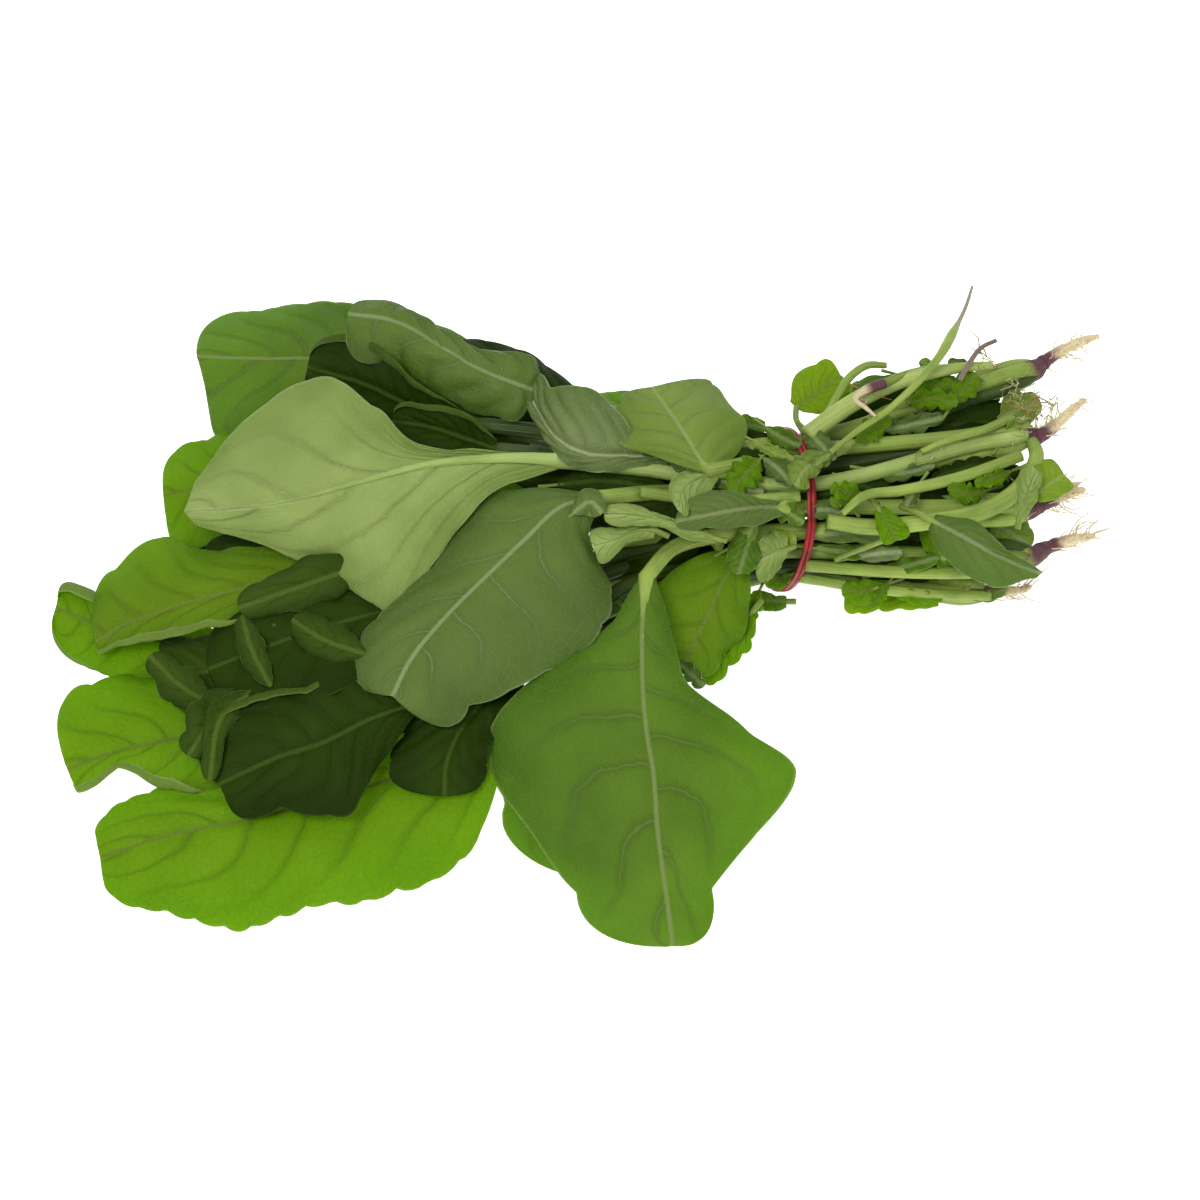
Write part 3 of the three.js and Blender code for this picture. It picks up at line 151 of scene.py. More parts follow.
# Rows: name, crown, slot in the tie (ring, degrees), then the same four lines
LEAVES = [
    ("broad_olive", "upper", (3, 60), [(38, 35.5, 40)],
     [(28, 33.5, 45), (25, 38.5, 47), (22, 43.5, 47.5), (19, 48, 47), (16, 52, 45), (13.5, 55.3, 43)],
     [(26.3, 33.2, 45), (15, 37, 45), (6, 40, 44), (1, 46, 42), (6, 51.5, 42), (12.5, 55, 42.6)],
     [(29.8, 33.9, 44.6), (36, 38, 42), (38, 45.5, 41), (34.5, 50, 41), (29, 56, 38), (16, 55.8, 42.5)]),
    ("spear", "middle", (3, 0), [],
     [(48, 24, 41), (42, 24.2, 43), (35, 23.5, 44.5), (27, 22, 45), (19.5, 20.5, 44)],
     [(48, 22, 40.4), (42, 20, 41), (34, 18.5, 41.5), (27, 18.8, 43), (19.8, 20, 43.6)],
     [(48, 25.6, 41), (43, 26, 43), (34, 28.5, 44), (27, 27.5, 45), (20, 21.4, 44.2)]),
    ("silver_twisted", "top", (3, 80), [(34, 39, 37.5)],
     [(18, 37, 41), (7, 37.5, 43), (-3, 38, 44), (-10, 41, 44), (-15, 47, 42), (-18.5, 54.5, 40)],
     [(18, 35.3, 41), (6, 34, 42), (-2, 33, 42), (-9.5, 35.5, 42), (-15.5, 44, 41), (-19.8, 54, 40)],
     [(17, 39, 41), (10, 42, 44), (4, 50, 46), (-5, 55.5, 47), (-13, 55, 44), (-17.6, 56, 40.5)]),
    ("top_pale", "upper", (3, 20), [(34, 30.5, 38.5), (12, 34, 40.5)],
     [(-11, 36.2, 42.5), (-28, 36.3, 45), (-44, 35, 45), (-60, 31, 43), (-76, 26.5, 38), (-92, 24, 31),
      (-108, 23, 23)],
     [(-11, 34, 42), (-28.5, 27.5, 41.5), (-41.5, 12, 34), (-54, -2.6, 26), (-69, 5.5, 27), (-87, 14, 25.5),
      (-105, 19.4, 22)],
     [(-12, 38, 42.5), (-30, 38.8, 45), (-47, 40.5, 45), (-58, 50, 43), (-73, 58, 38), (-92, 47, 31),
      (-105, 31, 23)]),
    ("dark_centre", "upper", (2, 30), [(32, 28, 33.4), (15, 28, 37.8)],
     [(-1, 26.5, 42), (-10, 24.5, 43), (-20, 15.5, 40), (-30, 6, 36), (-40, -4, 31.5), (-49, -15, 27),
      (-54, -25, 22.5)],
     [(0, 24.4, 41.5), (-3, 16, 38.5), (3, 2, 33), (-1, -10, 29), (-16, -20, 25), (-34, -27.5, 22),
      (-51, -27.8, 21.5)],
     [(-3, 28, 42), (-16, 29, 41), (-32, 26, 36.5), (-43, 9, 30), (-57, -3.5, 28), (-63, -13, 25),
      (-57.5, -24.5, 22)]),
    ("front_big", "middle", (3, -20), [(32, 17, 34), (19, 13.5, 36)],
     [(12, 6, 36), (11, -8, 32), (11, -20, 27), (12, -33, 21.5), (14, -46, 16), (15, -60, 10.5),
      (17, -75, 5.5), (19, -90, 1.2)],
     [(14.5, 5.5, 35.5), (18, -6, 30), (22, -20, 24), (38, -33.5, 13), (51, -45, 6), (42, -59, 3.5),
      (29, -75, 2), (21, -90, 0.8)],
     [(9.6, 5, 35.5), (2, -7, 29.5), (-9, -15, 24), (-27, -30, 15), (-28.5, -44, 8.5), (-19, -59, 4.5),
      (-6, -76, 2), (16, -90, 0.8)]),
    ("curled_grey", "top", (3, 100), [(28, 45, 33), (2, 48.5, 35)],
     [(-15.5, 54, 40.6), (-21, 56, 43), (-32, 60.5, 46), (-42, 66.5, 48), (-53, 72.5, 47),
      (-65.5, 74.5, 41)],
     [(-16.5, 52.3, 40), (-21.5, 47, 38), (-32, 48.7, 37), (-43, 54.5, 37.5), (-54, 61.5, 38),
      (-66, 69, 40)],
     [(-15, 55.8, 41), (-18, 63.5, 43), (-31, 65, 43), (-43, 71.5, 44), (-50, 75.6, 45), (-64, 77, 40.5)]),
    ("round_bright", "lower", (3, -40), [],
     [(38, 13, 28), (33, 6.5, 27), (29, -2, 24), (25, -10, 19), (21.5, -18.5, 14)],
     [(38.6, 11, 27), (39, 0, 21), (37.5, -8, 17), (32, -14.5, 14), (23.5, -18.8, 13.5)],
     [(35.5, 13.8, 28.5), (24, 11, 29), (15, 3, 26.5), (14, -6, 22), (19, -17.5, 14.5)]),
    ("cupped_light", "top", (2, 90), [(20, 38, 31), (-8, 43, 34)],
     [(-35, 46, 35), (-48, 50, 32.5), (-61, 56, 28.5), (-76, 60.5, 25)],
     [(-36, 43.5, 34.8), (-52, 44, 33), (-66, 50, 29), (-76, 58.5, 24.5)],
     [(-34.5, 48.5, 35.3), (-48, 57, 37.5), (-60, 67, 36), (-75.5, 62.5, 26)]),
    ("small_cup", "upper", (2, 60), [(22, 34.5, 33), (-5, 37, 35.5)],
     [(-26, 39, 38.5), (-35, 42, 38), (-44, 45, 36.5), (-54, 46.5, 34.5)],
     [(-26.5, 36.8, 38.5), (-36, 36.5, 38), (-46, 39.5, 36.5), (-54, 45, 34.5)],
     [(-26.5, 41.2, 38.8), (-34, 48, 40.5), (-45, 50.5, 38.5), (-53.5, 48, 35)]),
    ("left_folded", "middle", (2, 0), [(16, 17, 29), (-20, 13.5, 28.5), (-48, 11.8, 26.5)],
     [(-67, 10.5, 25), (-80, 7.5, 22.5), (-92, 3.5, 20), (-104, 0.5, 17), (-115, -3, 14), (-124, -6.5, 11),
      (-131, -10.8, 7.5)],
     [(-67, 8.6, 24.5), (-81, 0, 19), (-93, -5.5, 16), (-104, -8, 13), (-115, -10.5, 10), (-125, -11.8, 8),
      (-130.5, -11.6, 7)],
     [(-67, 12.5, 25), (-81, 14, 21), (-94, 13.5, 18), (-104, 13, 15), (-114, 16.5, 12), (-126, 8, 8.5),
      (-131.8, -8.5, 6.8)]),
    ("dark_behind", "middle", (1, 0), [(16, 21.5, 26), (-20, 19, 26.5)],
     [(-46, 17.5, 24.5), (-60, 16, 22), (-75, 14.5, 18.5), (-90, 13, 15), (-103, 11, 11)],
     [(-46, 15.4, 24.3), (-60, 5, 20), (-75, 4.5, 16.5), (-90, 6.5, 13.5), (-103, 9.4, 10.8)],
     [(-46, 19.4, 24.5), (-61, 23, 22), (-76, 21.5, 18.5), (-91, 18, 15), (-102.6, 12.6, 11.2)]),
    ("dark_folded", "lower", (2, -60), [(16, 8, 20.5), (-14, -9, 20.5), (-34, -20, 19.5)],
     [(-48, -27, 18.6), (-60, -31, 19.4), (-72, -37, 18.4), (-84, -41, 15.5), (-99, -48, 10)],
     [(-47.5, -29, 18.4), (-58, -44, 16), (-66, -56, 13), (-83, -54, 11.5), (-97, -50.5, 9.6)],
     [(-49, -25, 18.8), (-62, -19, 20.4), (-76, -22, 20.4), (-92, -26, 16.5), (-103, -45, 10)]),
    ("dark_low", "lower", (3, -60), [(18, -1, 17.5), (-8, -13, 17)],
     [(-24, -19, 16.5), (-31, -27, 16.5), (-37, -35, 15.4), (-40, -43, 13.6), (-40.5, -51, 11.6)],
     [(-22.5, -20.5, 16.4), (-24, -29, 15.6), (-27.5, -36, 14), (-30, -43, 12.2), (-37, -50.5, 11.2)],
     [(-26, -17.6, 16.5), (-40, -24, 16), (-50, -33, 14.6), (-54, -42, 13), (-45, -50.5, 11.6)]),
    ("narrow_folded", "lower", (1, -60), [(16, 12, 20.5), (-22, -1, 21.5), (-52, -10, 21.5)],
     [(-68, -15, 21), (-78, -14, 20.5), (-86, -11.5, 19), (-93, -6, 16.8)],
     [(-68.5, -17, 20.6), (-79, -20.5, 17.5), (-88, -19, 15.5), (-94.3, -9, 15)],
     [(-67.5, -13, 21), (-77, -9, 21.5), (-85, -6, 20.5), (-91.5, -4.4, 17.5)]),
    ("left_lobed", "under", (1, -120), [(16, 12, 14), (-25, 2, 14.5), (-60, -9, 14)],
     [(-82, -15, 14), (-92, -17, 13.5), (-102, -18.5, 12), (-112, -20, 9.5)],
     [(-82, -17, 13.8), (-91, -29, 12), (-102, -28, 10.5), (-110.5, -24, 8.8)],
     [(-82, -13, 14), (-94, -9.5, 13), (-106, -10, 11), (-114, -15, 9)]),
    ("top_left_bright", "top", (3, 120), [(16, 45, 23), (-15, 53, 23)],
     [(-46, 58, 22), (-60, 61, 22), (-74, 63, 20.5), (-88, 63, 16.5), (-104.8, 63.4, 8)],
     [(-46, 55.5, 21.8), (-63, 47, 20.5), (-78, 44, 17.5), (-92, 43, 12), (-100.5, 54, 6.5)],
     [(-46, 60.4, 22), (-57, 75, 15), (-72, 77.5, 12), (-88, 75, 9), (-104.8, 65.5, 6)]),
    ("left_bright", "far", (2, 150), [(16, 36.5, 16), (-22, 37.5, 16.5)],
     [(-54, 35, 16.5), (-70, 34.5, 15.5), (-86, 33, 13), (-100, 30.5, 9), (-113.5, 27, 3.5)],
     [(-54, 32.6, 16.2), (-70, 18, 12.5), (-86, 13.5, 9), (-101, 15, 5.5), (-112.5, 22, 2.8)],
     [(-54, 37.4, 16.4), (-70, 49, 14), (-88, 49, 11), (-102, 41.5, 7), (-113.5, 30.5, 3)]),
    ("far_left", "lowest", (2, -120), [(16, 8, 10.5), (-25, 0, 9.5), (-65, -9, 8.5)],
     [(-96, -13, 8), (-112, -11, 6.5), (-128, -7, 4.5), (-141.5, -2, 2.2)],
     [(-96, -15.4, 7.8), (-113, -24, 4.5), (-131, -18, 3), (-142, -4.5, 1.8)],
     [(-96, -10.8, 7.8), (-112, -1, 4.5), (-129, 1, 3), (-140.4, 1.4, 2)]),
    ("bottom_bright", "lowest", (3, -80), [(20, -4, 12), (-6, -22, 10.5)],
     [(-24, -37, 9.6), (-40, -43, 9), (-58, -47.5, 8.4), (-76, -53, 7.4), (-94, -57.5, 6), (-112, -61, 4.4),
      (-130, -67, 2.2)],
     [(-23.4, -39.4, 9.2), (-36, -68, 3), (-56, -77, 1.2), (-76, -80, 1.6), (-93, -85.5, 1.2),
      (-112, -81, 1.6), (-129, -73, 1.4)],
     [(-26, -35.2, 9.6), (-46, -34, 7.6), (-64, -38, 6.6), (-82, -43, 5.6), (-100, -47, 4.4),
      (-119, -50.5, 3.4), (-131, -61, 2)]),
    ("left_low", "lowest", (2, -90), [(16, 3, 14), (-20, -12, 12.5), (-55, -25, 11.5)],
     [(-82, -32, 10.5), (-97, -34, 9), (-111, -36, 7), (-125, -39, 5), (-138.5, -44, 2.6)],
     [(-82, -34.4, 10.2), (-97, -48, 5), (-111, -49.5, 3.5), (-125, -43.5, 4.5), (-136, -49, 1.8)],
     [(-82, -29.8, 10.4), (-98, -21.5, 7.5), (-114, -19, 5.5), (-132, -22, 3), (-139.6, -40, 2)]),
]
# Rows: name, crown, slot in the tie, the blade's base and tip as (x, y, height), half width, droop
PLAIN_LEAVES = [
    ("dark_middle", "lower", (2, -30), (-34, -16, 25), (-98, -33, 17), 19, 0.03),
    ("back_upper", "far", (1, 120), (4, 38, 29), (-58, 58, 23), 15, 0.05),
    ("back_left", "top", (2, 120), (-16, 46, 21), (-84, 80, 2), 21, 0.2),
    ("back_right", "far", (3, 140), (24, 40, 17), (-8, 60, 4), 11, 0.2),
    ("back_middle", "far", (3, 160), (-4, 42, 9), (-62, 70, 1), 16, 0.2),
    ("floor_far", "under", (3, 180), (-14, 32, 6), (-92, 50, 0.8), 24, 0.2),
    ("floor_middle", "under", (2, 180), (-20, 16, 7), (-108, 10, 0.8), 25, 0.2),
    ("floor_near", "under", (3, -160), (-10, 2, 5), (-88, -38, 0.8), 24, 0.2),
    ("front_low", "lowest", (3, -100), (14, -16, 8), (-5, -84, 0.8), 27, 0.2),
    ("inner_far", "upper", (1, 60), (-18, 30, 31), (-84, 44, 22), 22, 0.2),
]
# Rows: three places (across, up, lift over the bundle), half width, notch depth and length, shade
# Most dark rows below the stalks' tops are sheets that fill the gaps among the stalks and crowns: painted
# shade. The rest are small leaves.
BITS_ROOTS = [
    ((50.5, 26, -3), (57, 27.5, -3), (65, 28, -3), 3.6, 0.8, 6, "dark"),
    ((100, 21, -6), (106, 18, -6), (112, 14, -6), 5.4, 0.8, 6, "olive"),
    ((78, 45.5, -7), (93.5, 45.5, -7), (112, 47, -7), 7.2, 0.8, 6, "dark"),
    ((55, 34, -8), (78, 36, -8), (106.5, 41.5, -8), 9, 0.8, 7, "dark"),
    ((55, 22, -8), (78, 23, -8), (110.5, 26, -8), 10.2, 0.8, 7, "dark"),
    ((54, 10.5, -6), (78, 10.5, -6), (108, 11.5, -6), 6, 0.8, 7, "dark"),
    ((57, 41.5, -6), (75.5, 47.5, -6), (104, 54, -6), 7.2, 0.8, 7, "dark"),
    ((60, 48, -5), (70, 53.5, -5), (88.5, 56.5, -5), 4.2, 0.8, 5, "deep"),
    ((104, 47, -4), (109, 49.5, -4), (114.5, 51.5, -4), 4.8, 1, 4, "olive"),
    ((66.5, 41, 2.5), (70.5, 44.5, 4), (75.5, 47.5, 4), 2.7, 2, 3, "bright"),
    ((79.5, 51, 2), (86, 52.5, 3.5), (93, 51, 4), 2.7, 1.8, 4, "bright"),
    ((81, 53, 1.5), (87, 55.5, 3), (92, 56.5, 4), 2.1, 1.4, 4, "bright"),
    ((92, 51.5, 2), (95, 55.5, 4), (98, 58.5, 4.5), 3, 1.8, 3.6, "bright"),
    ((88, 55.5, 2), (86, 59.5, 4), (83.5, 62.5, 5), 2.1, 0.6, 5, "mid"),
    ((97, 59, 2), (94, 61, 4), (90.5, 62, 4), 1.8, 0.5, 5, "deep"),
    ((68.5, 26.5, 2), (64, 28, 4.5), (60, 29, 5), 2.7, 2, 3, "bright"),
    ((64.5, 24.5, 3), (62.5, 26, 5), (60, 25, 5), 1.8, 1.5, 2.5, "bright"),
    ((100.5, 28.5, 2), (95.5, 27.5, 4), (90.5, 29.5, 5), 2.4, 2, 3.2, "bright"),
    ((107, 33.5, 2.5), (102, 31.5, 4.5), (97.5, 30, 5), 2.1, 1.2, 3.5, "bright"),
    ((82.5, 29.5, 3), (81, 27, 4), (79.5, 24.5, 5), 1.8, 0.8, 3, "grey"),
    ((83.5, 21, 0), (87.5, 14, 1.5), (90.5, 7, 2.5), 3, 0.5, 6, "bright"),
    ((66, 11, 1.5), (72, 12, 2.5), (78.5, 12.5, 3), 2.1, 0.4, 6, "silver"),
    ((73, 7, 1.5), (80.5, 9, 3), (88, 11, 3), 2.1, 0.5, 6, "mid"),
    ((55, 16.5, -1), (65, 17.5, 1), (76.5, 15.5, 2), 2.7, 0.6, 7, "grey"),
    ((53.5, 23, 0), (59, 23.5, 2), (64, 22.5, 2), 2.4, 1, 5, "deep"),
    ((56, 13.5, 0), (65, 12.5, 1), (74, 13.5, 1), 1.8, 0.4, 6, "mid"),
    ((74.5, 4, 2), (68, 2, 3), (63, 3, 3), 3.3, 0.8, 5, "bright"),
    ((75, 4.5, 2), (73, 1.5, 3), (71, -2, 3), 1.5, 0.4, 5, "bright"),
    ((76, 2, 1), (82, 1, 2), (89, 0, 2), 1.8, 0.8, 4, "bright"),
    ((93.5, 2.5, 0), (100, 1, 1), (105.5, 2.5, 1), 1.8, 0.6, 4, "mid"),
    ((88.5, 41.5, -1), (95, 40, 0), (101.5, 40.5, 0), 2.1, 1.2, 4, "deep"),
    ((70, 34, -1), (78, 33, 0), (87, 35, 0), 2.1, 1.2, 4, "deep"),
    ((73, 44, -1), (80.5, 45.5, 0), (89.5, 47.5, 0), 2.4, 1.4, 4, "deep"),
    ((86, 31, -1), (93.5, 34, -0.5), (104, 36, -1), 2.4, 1.2, 4, "dark"),
    ((65, 31, -2), (78, 26, -2), (91, 24.5, -2), 3.6, 1.2, 5, "dark"),
    ((93.5, 24.5, -2), (101.5, 28.5, -2), (109, 34, -2), 4.2, 1.2, 5, "dark"),
    ((70, 16, -2), (86, 16.5, -2), (101.5, 18.5, -2), 2.7, 1.2, 5, "dark"),
    ((101.5, 36.5, -3), (106.5, 31, -3), (112, 26, -3), 4.2, 1, 5, "olive"),
    ((105, 41.5, 0), (107, 44, 1), (112, 45.5, 1), 1.8, 1.5, 3, "olive"),
    ((78, 58.5, 0), (84.5, 57, 0), (92.5, 57.5, 0), 2.1, 1.2, 4, "deep"),
]
# The dark rows below the stalks' tops fill the gaps in the neck: painted shade. The rest are small leaves.
BITS_NECK = [
    ((-22, 31, -6), (-10.5, 31.5, -8), (5, 28.5, -8), 4.8, 0.6, 9, "dark"),
    ((10.5, 6.5, -8), (17, 5, -8), (26, 10.5, -8), 4.8, 0.6, 9, "dark"),
    ((-2.5, -6.5, -6), (2.5, -5, -6), (10.5, -2.5, -6), 4.2, 0.6, 9, "dark"),
    ((-10.5, 34, -9), (21, 26, -10), (52, 22, -10), 13.8, 0.6, 9, "dark"),
    ((10.5, 15.5, -9), (26, 17, -10), (52, 13, -10), 10.2, 0.6, 9, "dark"),
    ((21, 39, -7), (36.5, 37.5, -8), (53.5, 36.5, -8), 7.2, 0.6, 9, "dark"),
    ((39.5, 41.5, 3), (44.5, 39, 3.5), (50.5, 36.5, 4.5), 1.2, 0.2, 6, "pale_top"),
    ((41.5, 36.5, 1.5), (38, 33, 3), (34, 28, 3), 3.9, 2.6, 3.4, "bright"),
    ((42.5, 37, 1), (46.5, 34, 2), (50, 30, 2.5), 2.7, 1.8, 3.6, "deep"),
    ((18.5, 36.5, 2), (23.5, 34, 3), (28.5, 30.5, 3), 2.7, 1.8, 3.6, "deep"),
    ((28, 32, 0), (35, 30, 1), (42.5, 28, 1), 2.7, 1.4, 4, "grey"),
    ((44.5, 23.5, 2), (49, 22.5, 4), (53, 20, 4.5), 2.4, 1.8, 3.4, "mid"),
    ((53.5, 44.5, 3), (57, 41, 4), (61, 36.5, 4), 2.4, 0.8, 5, "grey"),
    ((43, 45, -1), (47, 42.5, 1.5), (52, 40, 3), 2.4, 0.8, 5, "mid"),
    ((-11, 30, -3), (2.5, 31, -3), (17.5, 28, -3), 4.2, 0.6, 8, "dark"),
    ((-10.5, 24, -3), (5, 24.5, -3), (23.5, 26, -3), 3.6, 0.6, 8, "dark"),
    ((0, 15.5, -3), (15.5, 19.5, -3), (36.5, 21, -3), 4.2, 0.6, 8, "dark"),
    ((0, 8, -3), (10.5, 11.5, -3), (26, 14.5, -3), 4.2, 0.6, 8, "dark"),
    ((-2.5, 36, -1), (9, 36, 0), (23.5, 36, 0), 2.7, 0.6, 8, "deep"),
    ((26, 24, -2), (36.5, 24.5, -1.5), (50.5, 26, -1), 3.6, 0.6, 8, "deep"),
    ((26, 37.5, -1), (36.5, 36, -1), (50.5, 35, -1), 3.9, 1.2, 5, "dark"),
    ((41, 10.5, -1), (45.5, 14.5, 1), (51, 16, 2), 3.6, 0.6, 7, "pale_top"),
    ((49.5, 6.5, 0), (45.5, 5, 1), (41, 7.5, 1), 2.1, 1.4, 3, "bright"),
    ((41.5, 2.5, 0), (39.5, -1.5, 0), (37, -7, 0), 2.4, 1.6, 3.2, "bright"),
    ((35, -10.5, -2), (31.5, -13, -2), (30, -16, -2), 1.8, 1.2, 3, "bright"),
    ((20, -16, 0), (23.5, -19, 0), (27, -22.5, 0), 2.1, 1.6, 3, "deep"),
    ((8, -3, 4), (5, -0.5, 5), (3, 3.5, 5), 1.5, 0.8, 4, "mid"),
    ((14.5, -1.5, 4), (17, -2.5, 5), (19, -5.5, 5), 1.8, 1, 3.6, "mid"),
    ((-7, 22.5, 6), (-2.5, 25.5, 8), (0.5, 22.5, 8), 3.6, 0.8, 5, "grey"),
    ((55, 34, 4), (57.5, 36.5, 5.5), (61, 39, 6), 1.5, 1, 3, "olive"),
    ((23.5, 18, 0), (29, 16.5, 1), (31.5, 13, 1), 2.1, 0.6, 4, "pale_top"),
    ((33.5, 13.5, 2), (37, 15.5, 3), (40.5, 19.5, 3), 2.4, 0.4, 6, "olive"),
]
# These have heights above the table in place of lifts
# Dark flaps over the left blades: some are curled leaf edges, the others painted shade where leaves above
# cast their shadow.
BITS_LEFT = [
    ((-85.5, -22.5, 21.5), (-90.5, -13, 22), (-93, -4, 21), 3.6, 0.8, 6, "inner"),
    ((-61, -14, 27), (-71.5, -10.5, 27), (-80, -5, 24), 5.4, 0.8, 7, "inner"),
    ((-100.5, -27.5, 15.5), (-109.5, -22, 15), (-117, -14.5, 14), 4.8, 1, 7, "inner"),
    ((-92.5, -23.5, 17.5), (-100.5, -30.5, 16.5), (-107, -40.5, 13.5), 6, 1.6, 7, "inner"),
    ((-59.5, 10, 29.5), (-75, 4.5, 28), (-94, -2, 24.5), 6.3, 0.6, 8, "inner"),
    ((-31, -14.5, 15.5), (-24.5, -22, 14.5), (-20.5, -31.5, 13), 4.2, 0.4, 7, "dark"),
    ((-90, -23.5, 19.5), (-98.5, -30.5, 18), (-101.5, -47, 12.5), 3.6, 0.8, 7, "inner"),
]
# Rows: across, up, lift, spread, count
ROOTLETS = [
    (112, 50, 1, 2.6, 34),
    (108.5, 53, 2, 2, 16),
    (99.5, 64, 7, 1.3, 9),
    (68.5, 53.5, 9, 1.4, 9),
    (107, 26.5, 1, 3, 10),
    (104, 41.5, 1, 3, 8),
    (96.5, 4, 1, 2.5, 6),
    (86, 39, 2, 5, 6),
]
# Rows: places (across, up, lift), radii along them, and 1 for a dried stem
LOOSE_STEMS = [
    ([(112, 42, -1.5), (113.5, 37, 1), (109.5, 29.5, 2.5), (100.5, 23.5, 3.5), (86, 20.5, 4), (70.5, 19, 4),
       (59, 20.5, 3.5)],
     [1.6, 2.0, 2.3, 2.3, 2.2, 2.1, 1.9], 0),
    ([(103, 67.5, 9), (99, 65.5, 9), (96, 61.5, 8), (93.5, 57, 6)],
     [0.55, 0.6, 0.7, 0.7], 1),
    ([(109.5, 37.5, 3), (94, 32, 4.2), (78.5, 28.5, 4.5), (68.5, 27, 5), (63, 22.5, 5)],
     [1.5, 1.5, 1.4, 1.2, 0.8], 0),
    ([(74.5, 61, 8), (69.5, 61, 8.5), (65, 58, 7), (61.5, 52.5, 5), (57, 44.5, 2)],
     [0.8, 1.0, 1.1, 1.1, 1.1], 0),
    ([(107.5, 47.5, 2.5), (99, 44, 3.5), (90.5, 41.5, 3.5), (83.5, 38.5, 2.5)],
     [1.0, 1.1, 1.0, 0.8], 0),
    ([(73, 56, 9), (79.5, 58.5, 7), (86, 60, 5), (93.5, 60.5, 3)],
     [1.2, 1.2, 1.1, 1.0], 0),
    ([(53.5, 9, 1.5), (73, 7.5, 2.5), (91, 7, 3), (106.5, 7.5, 2)],
     [1.5, 1.6, 1.6, 1.5], 0),
    ([(52, 6, 1), (70, 3, 1.5), (88.5, 1.5, 1.5), (101.5, 1, 1)],
     [1.3, 1.4, 1.4, 1.3], 0),
    ([(10.5, 28, 2), (23.5, 26.5, 1), (39, 26, 1), (52, 27, 1)],
     [1.5, 1.5, 1.5, 1.5], 0),
    ([(61, 10.5, 3), (70, 14, 4), (79.5, 17.5, 4.5)],
     [0.6, 0.7, 0.6], 0),
]

# What each leaf looks like: the shade of its blade, its side veins and how lively its surface is.
# `fold` lifts the left and right margins. A curl is (side, start, end, radius, share of the half width)
PLAIN_LOOK = dict(top="mid", veins=6, sweep=0.3, relief=0.7, wave=1.0, notch=0.5, notch_length=9,
                  fold=(0, 0), curls=())
LOOKS = {
    "broad_olive": dict(top="olive", veins=5, relief=0.7, notch=0.35, fold=(1.5, 0)),
    "spear": dict(top="grey", veins=8, relief=0.5, fold=(2, 2)),
    "silver_twisted": dict(top="silver", veins=7, relief=1.2, wave=1.6, fold=(2, 3)),
    "top_pale": dict(veins=5, sweep=0.55, relief=1.5, wave=0.5, notch=0.45, fold=(1.5, 2.5)),
    "dark_centre": dict(top="deep", sweep=0.26, relief=0.9, notch=0.7, notch_length=7, fold=(-1, 2.5)),
    "front_big": dict(sweep=0.22, relief=0.75, wave=0.6, notch_length=13, fold=(1.5, 2)),
    "curled_grey": dict(top="deep", veins=7, relief=1.6, sweep=0.1, notch=1.0, notch_length=11, fold=(0, 1)),
    "cupped_light": dict(top="dark", relief=0.5, fold=(0, 4),
                         curls=((1, 0.05, 1.1, 3.4, 0.4), (-1, 0.5, 1.1, 1.6, 0.3))),
    "small_cup": dict(top="dark", relief=0.4, fold=(0, 3), curls=((1, 0.0, 1.1, 2.2, 0.4),)),
    "round_bright": dict(top="fresh", veins=4, relief=0.4, notch=0.2),
    "bottom_bright": dict(top="bright", relief=1.2, notch=1.6, notch_length=7, fold=(1, 2)),
    "left_low": dict(top="bright", notch=0.7, fold=(2, 1), curls=((-1, 0.35, 1.15, 6.0, 0.6),)),
    "far_left": dict(top="bright", notch=0.6,
                     curls=((1, 0.35, 1.2, 4.5, 0.6), (-1, 0.6, 1.2, 1.6, 0.3))),
    "left_bright": dict(top="bright", notch=0.7, notch_length=7),
    "top_left_bright": dict(relief=0.6, notch=0.8, notch_length=8, fold=(1, -1),
                            curls=((-1, 0.8, 1.06, 0.9, 0.15),)),
    "left_folded": dict(top="fresh", fold=(5, 0), relief=0.8, curls=((-1, 0.3, 1.08, 4.6, 0.55),)),
    "dark_folded": dict(top="dark", fold=(1, 3), relief=1.2, notch=0.8, curls=((1, 0.3, 1.02, 2.4, 0.3),)),
    "narrow_folded": dict(top="inner", curls=((1, 0.2, 1.1, 2.0, 0.4),)),
    "dark_low": dict(top="dark", notch=0.8),
    "dark_behind": dict(top="dark"),
    "left_lobed": dict(top="inner", notch=1.0, curls=((-1, 0.2, 1.0, 2.0, 0.35),)),
    "dark_pointed": dict(top="deep", fold=(1.5, 1)),
    "round_top": dict(top="glow", relief=0.3, notch=0.1),
    "seed_leaf": dict(top="bright", relief=0.2, notch=0.1),
    "light_right": dict(top="pale_top", relief=0.3, notch=0.1),
    "yellow_low": dict(top="glow", notch=1.2, notch_length=5),
    "toothed_low": dict(top="bright", notch=1.4, notch_length=4.5),
    "over_tie": dict(top="olive", notch=1.6, notch_length=5.5),
}
# These leaves lie under others and take the darkest tone: painted shade.
for shaded_leaf in ("dark_middle", "inner_far", "back_upper", "floor_middle", "floor_near"):
    LOOKS[shaded_leaf] = dict(top="dark")
SHOWS_UNDER = ("top_pale", "pale_upright", "ribbon", "pale_curl", "beside_tie_low", "pale_right")
TIP_ROUNDNESS = {"top_pale": 0.0, "bottom_bright": 0.4, "dark_pointed": 0.0}  # 1 for all other leaves

# Outlines of plain leaves and bits: half widths at stations along the rib
PLAIN_STATIONS = np.array([0, 0.2, 0.4, 0.6, 0.8, 1])
PLAIN_WIDTH = np.array([0.09, 0.42, 0.84, 1, 0.86, 0.06])
BIT_WIDTH = np.array([0.12, 0.7, 1, 0.95, 0.7, 0.1])
PLAIN_ARCH = 0.06  # height of the rib's arch, as a share of its length
PLAIN_SAG = 0.04
PLAIN_LOWEST = 1.1
TINY = 1e-12


